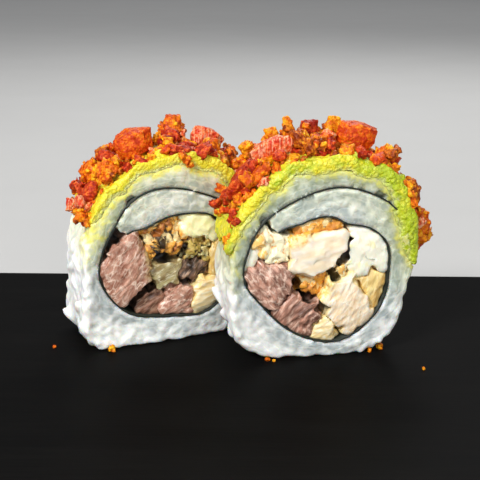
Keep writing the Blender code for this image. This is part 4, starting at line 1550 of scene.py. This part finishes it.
@dataclass
class Mash:
    """The mashed avocado of one roll, with the crumbs that its CAD solid holds."""

    stand: Stand
    greenness: float
    voxel: float = 0.385
    ragged: float = 1.7
    slice: float = 4.0
    taper: float = 2.4
    grease_reach: float = 2.5
    half_width: float = 20.0
    radius: float = 22.0
    lump_sizes: Triple = (3.0, 1.5, 0.7)
    tear_sizes: Triple = (6.5, 2.6, 1.1)

    @property
    def lump(self) -> float:
        """Height of the lumps in millimetres; greener avocado is coarser."""
        return 0.2 + 0.3 * self.greenness

    @property
    def flush(self) -> float:
        """How flat the lip lies on the cut face, 0 to 1; greener avocado stands prouder."""
        return 0.85 - 0.25 * self.greenness

    def build(self, material: bpy.types.Material, bits: BVHTree) -> Shape:
        """Builds and dresses the avocado.

        Args:
            material: its finish.
            bits: search tree of the large bacon bits.

        Returns:
            Its shape before it was turned into metres.
        """
        node = f"{self.stand.side}_avocado"
        shape = Shape.of_nodes(node)
        shape.remesh(self.voxel)
        shape.relax(3)
        self.tear(shape)
        points = shape.points()
        large, middle, small = self.lump_sizes
        height = 1.3 * ripple(points, large, 2.0) + 1.2 * np.abs(ripple(points, middle, 5.0)) - 0.35
        height += 0.4 * np.abs(ripple(points, small, 7.0))
        behind = np.clip(self.stand.to_roll(points)[:, 1] / 2.5 + 0.5, 0.65, 1)
        shape.swell(self.lump * height * behind)
        points = shape.points()
        proud = np.einsum("ij,ij->i", points - shape.blurred(points, 10), shape.normals())
        near = 1 - distances(points, bits, self.grease_reach) / self.grease_reach
        spike = np.clip(proud / 0.5 - 0.3, 0, 1) * (self.stand.to_roll(points)[:, 1] > 1.0)
        shape.keep_value("near_bacon", np.clip(near + 1.5 * spike, 0, 1.6))
        over = self.stand.round_centre(self.stand.to_roll(points))[0]
        shape.keep_value("lime", np.clip(1.6 * over / self.half_width - 0.2, 0, 1))
        shape.keep_hollows(6, 0.6)
        bed = Shape(shape.mesh.copy())
        shape.done(f"{node}_mash", material, "avocado", node)
        return bed

    def tear(self, shape: Shape) -> None:
        """Makes the edge that hangs over the cut face ragged.

        Args:
            shape: the avocado.
        """
        points = shape.points()
        local = self.stand.to_roll(points)
        over, up, radius = self.stand.round_centre(local)
        around = np.stack((over / radius, up / radius, radius * 0), axis=1) * self.radius
        large, middle, small = self.tear_sizes
        pull = ripple(around, large, 8.0) + 0.6 * ripple(around, middle, 4.0)
        pull = self.ragged * (pull + 0.35 * ripple(around, small, 6.0))
        pull *= np.clip(1.0 - local[:, 1], 0, 1)
        points += np.outer(pull * over / radius, self.stand.across)
        points += np.outer(pull * up / radius, (0, 0, 1))
        angle = np.floor(np.degrees(np.arctan2(up, over)) / self.slice).astype(int)
        lip = local[:, 1] < 0
        lowest = {n: radius[lip & (angle == n)].min() for n in set(angle[lip])}
        height = radius - np.array([lowest.get(n, 0.0) for n in angle])
        thin = 1 - np.clip(height / self.taper, 0, 1)
        back = -local[:, 1] * (self.flush + (1.2 - self.flush) * thin) * lip
        points += np.outer(back, self.stand.back)
        around = np.stack((local[:, 1], np.sign(over) * 9.0, up * 0), axis=1)
        slip = self.ragged * (ripple(around, 4.0, 3.0) + 0.5 * ripple(around, 1.6, 1.0))
        slip *= np.clip(2.0 - up / 8.0, 0, 1)
        shape.move_to(points + np.outer(slip, (0, 0, 1)))
        shape.relax(2)
        shape.keep_value("thin", shape.blurred(thin * (local[:, 1] < 0.5), 3))


@dataclass
class BaconBit:
    """One large bacon bit, worked from its CAD solid: a clean slab or a crumbly lump."""

    node: str
    tone: BaconTone
    voxel: float = 0.3
    slab_grit: float = 0.15
    lump_grit: float = 0.34
    large: float = 1.8
    middle: float = 1.1

    def build(self, material: bpy.types.Material) -> bpy.types.Object:
        """Builds and dresses the bit.

        Args:
            material: its finish.

        Returns:
            The piece.
        """
        shape = Shape.of_nodes(self.node)
        shape.remesh(self.voxel)
        points = shape.points()
        shift = sum(map(ord, self.node)) * 0.23
        if self.tone in SLAB_TONES:
            shape.swell(self.slab_grit * (ripple(points, self.large, shift) + ripple(points, 0.6, shift)))
        else:
            lumps = ripple(points, self.large, shift)
            lumps = lumps + 1.6 * np.abs(ripple(points, self.middle, shift)) - 0.5
            shape.swell(self.lump_grit * (lumps + 0.4 * ripple(points, 0.5, shift)))
        shape.keep_hollows(5, 0.5)
        return shape.done(f"{self.node}_piece", material, "bacon", self.node)


@dataclass(frozen=True)
class Crumbs:
    """One size of loose crumb: its spacing, its half sizes, how finely it is made and its tones."""

    spacing: float
    small: float
    large: float
    rounds: int
    tries: int
    highest: float
    tones: tuple[BaconTone, ...]


@dataclass
class Pile:
    """The loose bacon crumbs of one roll, heaped on the avocado and against the large bits."""

    stand: Stand
    kinds: tuple[Crumbs, ...]
    front: float = 1.5
    first: float = 2.0
    last: float = 158.0
    crag: float = 0.5
    block: float = 0.8
    sink: float = 0.35
    bare_share: float = 0.6
    contact: float = 0.3

    def build(self, finishes: dict[str, bpy.types.Material], bed: Shape, lumps: Shape, slabs: Shape) -> None:
        """Builds and dresses the crumbs, one piece for each tone.

        Args:
            finishes: the materials by name.
            bed: the avocado.
            lumps: the large crumbly bits, which crumbs may lie on.
            slabs: the clean slabs, which stay bare.
        """
        draw = random.Random(f"{SEED}{self.stand.side}pile")
        mash, bare, heap = bed.tree(), slabs.tree(), bed.joined(lumps)
        made: dict[tuple[int, BaconTone], list[Lump]] = {}
        for kind in self.kinds:
            scatter = Scatter(heap, kind.spacing, kind.tries, draw)
            places = scatter.places(lambda spot, out: self.may_lie(spot, out, kind, mash, bare, draw))
            for spot, out in places:
                tone = draw.choice(kind.tones)
                made.setdefault((kind.rounds, tone), []).append(self.crumb(kind, spot, out, draw))
        for tone in BaconTone:
            shapes = [
                Shape.of_lumps(crumbs, rounds, self.crag, self.block)
                for (rounds, found), crumbs in sorted(made.items(), key=lambda item: item[0][0])
                if found is tone
            ]
            if not shapes:
                continue
            shape = shapes[0] if len(shapes) == 1 else shapes[0].joined(shapes[1])
            shape.keep_hollows(2, 0.3)
            shape.done(f"{self.stand.side}_crumbs_{tone.name.lower()}", finishes[tone.name], "bacon")

    def may_lie(
        self, spot: Vector, out: Vector, kind: Crumbs, mash: BVHTree, bare: BVHTree, draw: random.Random
    ) -> bool:
        """Whether a crumb may lie at a place.

        Args:
            spot: the place.
            out: outward direction there.
            kind: the size of crumb.
            mash: search tree of the avocado.
            bare: search tree of the slabs that stay bare.
            draw: source of chance.

        Returns:
            True where it may.
        """
        across, back, up = self.stand.to_roll(np.array([spot]))[0]
        over = Vector((across - self.stand.centre[0], 0, up - self.stand.centre[1]))
        angle = math.degrees(math.atan2(over.z, over.x))
        upright = out.dot(self.stand.direction(*over.normalized()))
        if not self.first < angle < self.last or upright < -0.2:
            return False
        if back < self.front + draw.uniform(-1.0, 1.5) or back > self.stand.length:
            return False
        if bare.find_nearest(spot, kind.small * self.bare_share)[3] is not None:
            return False
        height = mash.find_nearest(spot)[3]
        return height < kind.highest and (height > self.contact or upright > 0.35)

    def crumb(self, kind: Crumbs, spot: Vector, out: Vector, draw: random.Random) -> Lump:
        """One crumb, a little sunk in what it lies on.

        Args:
            kind: its size.
            spot: where it lies.
            out: outward direction there.
            draw: source of chance.

        Returns:
            The crumb.
        """
        size = kind.small + (kind.large - kind.small) * draw.random() ** 1.5
        half_sizes = tuple(size * draw.uniform(*share) for share in ((0.9, 1.7), (0.65, 1.1), (0.5, 0.9)))
        lean = Vector([draw.uniform(-0.6, 0.6) for _ in range(3)])
        along = Vector([draw.uniform(-1, 1) for _ in range(3)])
        centre = spot + out * (half_sizes[2] * self.sink)
        return Lump(tuple(centre), half_sizes, turn_to(out + lean, along))


@dataclass
class Strays:
    """The crumbs that fell off: for each tone, their places in the row frame and half sizes."""

    crumbs: dict[BaconTone, tuple[Spot, ...]]
    crag: float = 0.5
    block: float = 0.4
    lift: float = 0.75

    def build(self, finishes: dict[str, bpy.types.Material]) -> None:
        """Builds and dresses them, one piece for each tone.

        Args:
            finishes: the materials by name.
        """
        draw = random.Random(f"{SEED}strays")
        for tone, crumbs in self.crumbs.items():
            lumps = []
            for x, y, z, size in crumbs:
                half_sizes = tuple(size * draw.uniform(0.75, 1.3) for _ in range(3))
                out, along = Vector((draw.uniform(-0.3, 0.3), 0, 1)), Vector((1, draw.uniform(-1, 1), 0))
                place = (x, y, max(z, BOARD_TOP + self.lift * half_sizes[2]))
                lumps.append(Lump(place, half_sizes, turn_to(out, along)))
            shape = Shape.of_lumps(lumps, 3, self.crag, self.block)
            shape.keep_hollows(2, 0.3)
            shape.done(f"stray_crumbs_{tone.name.lower()}", finishes[tone.name], "bacon")


@dataclass
class CutRoll:
    """One cut roll with all its pieces."""

    stand: Stand
    fillings: tuple[Filling, ...]
    tones: tuple[BaconTone, ...]
    greenness: float
    smears: tuple[Spot, ...] = ()
    gaps: tuple[Triple, ...] = ()
    crumbs: tuple[Crumbs, ...] = (
        Crumbs(2.7, 1.0, 1.8, 3, 1100, 3.0, tuple(BaconTone) + tones_of("ORANGE AMBER")),
        Crumbs(1.8, 0.42, 0.95, 2, 2000, 5.0, tones_of("ORANGE AMBER RUST")),
    )

    def build(self, finishes: dict[str, bpy.types.Material]) -> None:
        """Builds and dresses every piece of the roll.

        Args:
            finishes: the materials by name.
        """
        side = self.stand.side
        rest = Shape.of_nodes(f"{side}_nori").tree()
        bits = [f"{side}_bacon_{n}" for n in range(1, len(self.tones) + 1)]
        bit_tree = Shape.of_nodes(*bits).tree()
        mash_finish = AvocadoFinish(greenness=self.greenness).make(f"avocado_{side}")
        bed = Mash(self.stand, self.greenness).build(mash_finish, bit_tree)
        Rice(self.stand, smears=self.smears).build(finishes[f"rice_{side}"], rest, bed.tree())
        Nori(self.stand).build(finishes["nori"])
        for filling in self.fillings:
            others = [f"{side}_{other.node}" for other in self.fillings if other is not filling]
            beside = Shape.of_nodes(*others).tree()
            FillingPiece(self.stand, filling, self.gaps).build(finishes[filling.finish], rest, beside)
        for node, tone in zip(bits, self.tones):
            BaconBit(node, tone).build(finishes[tone.name])
        slabs = [node for node, tone in zip(bits, self.tones) if tone in SLAB_TONES]
        lumps = [node for node in bits if node not in slabs]
        Pile(self.stand, self.crumbs).build(finishes, bed, Shape.of_nodes(*lumps), Shape.of_nodes(*slabs))


@dataclass
class Board:
    """The black board, whose CAD solid stays and gets its finish."""

    node: str = "board"

    def dress(self) -> None:
        """Gives the board its finish."""
        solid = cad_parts[self.node]
        solid.data.materials.clear()
        solid.data.materials.append(BoardFinish().make())
        for face in solid.data.polygons:
            face.use_smooth = False
        LOG.info("board dressed")


@dataclass
class Studio:
    """The floor, the lights and the camera."""

    floor_half: float = 3.0
    aim: Triple = (0.0, 0.026, 0.032)
    distance: float = 0.2742
    elevation: float = 16.0
    angle: float = 26.0
    tilt: float = 0.48
    lights: tuple[tuple[str, Triple, float, float], ...] = (
        ("key", (-0.42, -0.60, 0.62), 0.26, 9.5),
        ("fill", (0.34, -0.78, 0.36), 0.50, 3.1),
        ("rim", (0.15, 0.55, 0.60), 0.40, 2.6),
        ("backdrop", (0.0, 1.6, 1.6), 1.6, 9.0),
    )
    world_light: float = 0.20
    world_colour: Colour = (0.9, 0.93, 1.0)
    near_clip: float = 0.01

    def build(self) -> None:
        """Builds the floor, the lights and the camera."""
        self.make_floor()
        self.make_world()
        for name, place, size, power in self.lights:
            self.make_light(name, Vector(place), size, power)
        self.make_camera()

    def make_floor(self) -> None:
        """Builds the pale floor."""
        body = bmesh.new()
        bmesh.ops.create_grid(body, x_segments=24, y_segments=24, size=self.floor_half)
        mesh = from_bmesh(body)
        mesh.materials.append(FloorFinish().make())
        floor = bpy.data.objects.new("studio_floor", mesh)
        bpy.context.scene.collection.objects.link(floor)

    def make_world(self) -> None:
        """Sets the even light from all round."""
        world = bpy.data.worlds.new("studio")
        world.use_nodes = True
        sky = world.node_tree.nodes["Background"]
        sky.inputs["Color"].default_value = rgba(self.world_colour)
        sky.inputs["Strength"].default_value = self.world_light
        bpy.context.scene.world = world
        bpy.context.scene.view_settings.view_transform = "Standard"

    def make_light(self, name: str, place: Vector, size: float, power: float) -> None:
        """Adds one soft light that faces the rolls.

        Args:
            name: its name.
            place: where it hangs, in metres.
            size: length of its sides in metres.
            power: its power in watts.
        """
        lamp = bpy.data.lights.new(name, "AREA")
        lamp.energy = power
        lamp.size = size
        holder = bpy.data.objects.new(name, lamp)
        holder.location = place
        holder.rotation_euler = (Vector(self.aim) - place).to_track_quat("-Z", "Y").to_euler()
        bpy.context.scene.collection.objects.link(holder)

    def make_camera(self) -> None:
        """Places the camera at the photograph's angle."""
        rise = math.radians(self.elevation)
        back = Vector((0, -math.cos(rise), math.sin(rise)))
        camera = bpy.data.cameras.new("camera")
        camera.angle = math.radians(self.angle)
        camera.clip_start = self.near_clip
        holder = bpy.data.objects.new("camera", camera)
        turn = (-back).to_track_quat("-Z", "Y").to_matrix().to_4x4()
        tilt = Matrix.Rotation(math.radians(self.tilt), 4, "Z")
        holder.matrix_world = Matrix.Translation(Vector(self.aim) + back * self.distance) @ turn @ tilt
        bpy.context.scene.collection.objects.link(holder)
        bpy.context.scene.camera = holder


BEEF = {"slot": "beef", "relief": Relief.STRANDS}
CHICKEN = {"slot": "chicken", "relief": Relief.STRANDS}

RIGHT_ROLL = CutRoll(
    stand=Stand("right", (15.4, -1.0), 12.0, 19.0, (4.7, 24.0)),
    greenness=0.78,
    smears=((-17.5, 3.0, 30.0, 8.0), (-16.0, 0.5, 22.0, 4.5)),
    gaps=(
        (11.4, 28.6, 1.5), (10.9, 26.8, 1.7), (10.2, 25.1, 2.0), (9.1, 23.4, 1.9), (6.4, 21.3, 1.9),
        (8.0, 19.6, 1.6), (1.4, 14.7, 1.9), (-1.9, 18.0, 1.9), (-8.0, 12.0, 1.4), (5.2, 12.2, 1.7),
        (-4.2, 31.8, 1.5),
    ),
    fillings=(
        Filling("beef_side", "beef_grey", turn=-55.0, rough=0.52, proud=0.3, **BEEF),
        Filling("beef_low", "beef_brown", rough=0.5, bend=(6.0, 4.5), proud=-0.2, **BEEF),
        Filling("fried_fillet", "fillet", "tempura", Relief.SMOOTH, turn=14.0, rough=0.4,
                coated=(-0.55, 0.83), proud=0.5),
        Filling("crust_top", "batter", "batter", Relief.CRUMBS, rough=0.35, grain=2.6),
        Filling("crust_side", "tempura", "tempura", Relief.CRUMBS, rough=0.6, grain=6.0, fine=0.15),
        Filling("cheese_bit", "cheese", "cream_cheese", Relief.SMOOTH, rough=0.3),
        Filling("cheese", "cheese", "cream_cheese", Relief.SMOOTH, turn=80.0, rough=0.35),
        Filling("chicken_side", "chicken_tan", turn=70.0, rough=0.35, proud=-0.4, **CHICKEN),
        Filling("chicken_low", "chicken_pale", turn=60.0, rough=0.28, coated=(-0.9, 0.4), proud=0.4,
                **CHICKEN),
        Filling("chicken_bottom", "chicken_yellow", turn=20.0, rough=0.35, **CHICKEN),
        Filling("crust_middle", "batter", "batter", Relief.CRUMBS, rough=0.5, grain=2.0, proud=-0.7),
        Filling("crumb", "tempura", "tempura", Relief.CRUMBS, rough=0.4, grain=1.8),
    ),
    tones=tones_of(
        "EMBER AMBER CRIMSON AMBER AMBER AMBER RUST ORANGE "
        "ROSE AMBER SCARLET ORANGE SCARLET ORANGE RUST ORANGE"
    ),
)
LEFT_ROLL = CutRoll(
    stand=Stand("left", (-17.5, 10.5), 22.0, 19.0, (-1.0, 22.0)),
    greenness=0.3,
    smears=(
        (-17.4, 1.0, 36.4, 10.0), (-19.5, 1.5, 31.7, 12.0),
        (-14.3, 0.0, 39.9, 7.0), (-20.0, 3.0, 27.5, 9.0),
    ),
    gaps=(
        (-0.8, 21.6, 2.9), (3.2, 22.3, 1.8), (-3.3, 23.5, 1.5), (-5.3, 13.8, 2.0), (-8.6, 12.4, 2.4),
        (-10.2, 9.6, 2.6), (4.5, 14.5, 1.7), (8.3, 12.7, 1.6), (5.9, 18.3, 1.8), (-14.2, 24.9, 3.0),
        (-13.2, 27.0, 2.4), (-15.3, 22.9, 1.9),
    ),
    fillings=(
        Filling("beef_side", "beef_pink", turn=55.0, rough=0.28, coated=(1.1, 0.1), proud=0.6, **BEEF),
        Filling("crust_top", "batter_dark", "batter", Relief.CRUMBS, rough=0.8, grain=2.7),
        Filling("cheese", "cheese_warm", "cream_cheese", Relief.SMOOTH, turn=10.0, rough=0.5,
                coated=(-0.9, -0.5)),
        Filling("mushroom", "mushroom", "mushroom", Relief.CRUMBS, rough=0.8, grain=2.4),
        Filling("chicken_middle", "chicken_wet", "chicken", Relief.SMOOTH, turn=25.0, rough=0.3, proud=-0.4),
        Filling("beef_strands", "beef_wet", turn=50.0, rough=0.9, proud=-0.6, **BEEF),
        Filling("beef_low", "beef_dark", turn=30.0, rough=0.5, proud=-0.8, **BEEF),
        Filling("beef_bottom", "beef_pink", turn=35.0, rough=0.35, **BEEF),
        Filling("chicken_low", "chicken_yellow", turn=10.0, rough=0.25, **CHICKEN),
        Filling("chicken_side", "chicken_tan", turn=80.0, rough=0.35, **CHICKEN),
    ),
    tones=tones_of(
        "EMBER ORANGE CRIMSON ROSE ORANGE AMBER RUST "
        "ORANGE RUST ORANGE SCARLET ROSE ORANGE ORANGE"
    ),
)

STRAYS = {
    BaconTone.ORANGE: (
        (-2.0, -1.0, 40.6, 0.8), (-3.0, -0.4, 38.0, 0.9), (-13.2, 11.3, 56.6, 0.9),
        (-14.2, 11.0, 57.6, 0.8), (-46.0, 4.0, 0.0, 0.45),
    ),
    BaconTone.AMBER: (
        (-2.6, -0.8, 39.2, 1.3), (-12.3, 11.6, 55.2, 0.8), (-31.4, 2.0, 0.0, 0.75),
        (-31.9, 3.4, 0.0, 0.45), (6.9, -3.2, 0.0, 0.55), (8.5, -3.8, 0.0, 0.35),
        (32.4, 3.0, 0.0, 0.5), (35.2, 5.6, 0.0, 0.8), (44.0, -8.0, 0.0, 0.4),
    ),
}
RICES = (
    RiceFinish("rice_left", (0.93, 0.93, 0.58), (1.0, 0.99, 0.80), 0.92),
    # The right roll's rice is tinted darker near the avocado: partly its stain, partly painted shade.
    RiceFinish("rice_right", (0.54, 0.58, 0.33), (0.84, 0.86, 0.70), 0.65),
)
SHORT = (0.45, 1.0, 0.7)
LONG = (0.22, 1.0, 0.5)
MEATS = (
    MeatFinish("beef_pink", (0.68, 0.36, 0.25), (0.92, 0.72, 0.58), (0.28, 0.10, 0.055), SHORT, 0.75,
               coated=((0.54, 0.38, 0.17), (0.26, 0.13, 0.045))),
    MeatFinish("beef_grey", (0.66, 0.34, 0.24), (0.94, 0.70, 0.56), (0.15, 0.050, 0.026), SHORT, 0.75,
               depth=0.34),
    MeatFinish("beef_brown", (0.60, 0.29, 0.20), (0.88, 0.60, 0.46), (0.10, 0.034, 0.017), LONG, 0.65,
               depth=0.34),
    MeatFinish("beef_dark", (0.38, 0.18, 0.11), (0.66, 0.42, 0.28), (0.06, 0.020, 0.010), LONG, 0.5),
    MeatFinish("beef_wet", (0.19, 0.095, 0.050), (0.50, 0.31, 0.20), (0.022, 0.009, 0.004), LONG, 0.8),
    MeatFinish("chicken_pale", (0.95, 0.81, 0.62), (0.97, 0.92, 0.80), (0.88, 0.62, 0.34), SHORT, 0.65,
               (0.90, 0.72, 0.30), 0.4, coated=((0.93, 0.76, 0.36), (0.90, 0.52, 0.10))),
    MeatFinish("chicken_tan", (0.93, 0.74, 0.30), (0.97, 0.86, 0.52), (0.58, 0.34, 0.08), LONG, 0.6,
               (0.78, 0.52, 0.14), 0.3),
    MeatFinish("chicken_yellow", (0.97, 0.86, 0.58), (0.98, 0.94, 0.76), (0.84, 0.60, 0.24), LONG, 0.6,
               (0.88, 0.66, 0.24), 0.35),
    MeatFinish("chicken_wet", (0.64, 0.56, 0.27), (0.93, 0.90, 0.66), (0.20, 0.12, 0.03), LONG, 0.7,
               (0.22, 0.13, 0.04), 0.5, 0.4, depth=0.08),
    MeatFinish("fillet", (0.96, 0.87, 0.74), (0.98, 0.93, 0.86), (0.92, 0.74, 0.50), LONG, 0.4,
               (0.93, 0.70, 0.30), 0.5, 0.25, ((0.93, 0.72, 0.30), (0.90, 0.42, 0.05)), 0.06),
)
CRUSTS = (
    CrustFinish("batter", (0.92, 0.70, 0.34), (0.88, 0.40, 0.045), (0.46, 0.13, 0.018), 0.6),
    CrustFinish("batter_dark", (0.92, 0.72, 0.36), (0.80, 0.38, 0.05), (0.36, 0.11, 0.02), 0.95,
                dark=(0.045, 0.018, 0.008)),
    CrustFinish("tempura", (0.96, 0.88, 0.60), (0.95, 0.74, 0.32), (0.90, 0.42, 0.05), 0.7, paleness=0.55,
                dark=(0.80, 0.32, 0.03)),
    CrustFinish("mushroom", (0.80, 0.70, 0.34), (0.52, 0.38, 0.09), (0.28, 0.14, 0.03), 0.95,
                dark=(0.035, 0.022, 0.008)),
)
CHEESES = (
    CheeseFinish(),
    CheeseFinish("cheese_warm", (0.99, 0.89, 0.54), (0.97, 0.78, 0.34), (0.90, 0.42, 0.05)),
)


def make_finishes() -> dict[str, bpy.types.Material]:
    """Builds the finishes that both rolls share.

    Returns:
        The materials by name.
    """
    found = {"nori": NoriFinish().make()}
    found.update({finish.name: finish.make() for finish in RICES + MEATS + CRUSTS + CHEESES})
    found.update({tone.name: BaconFinish(tone).make() for tone in BaconTone})
    return found


def main() -> None:
    """Builds every piece of the scene in order."""
    logging.basicConfig(level=logging.INFO, format="%(name)s: %(message)s", stream=sys.stdout)
    Studio().build()
    Board().dress()
    finishes = make_finishes()
    LEFT_ROLL.build(finishes)
    RIGHT_ROLL.build(finishes)
    Strays(STRAYS).build(finishes)
    bpy.context.view_layer.update()


if __name__ == "__main__":
    main()
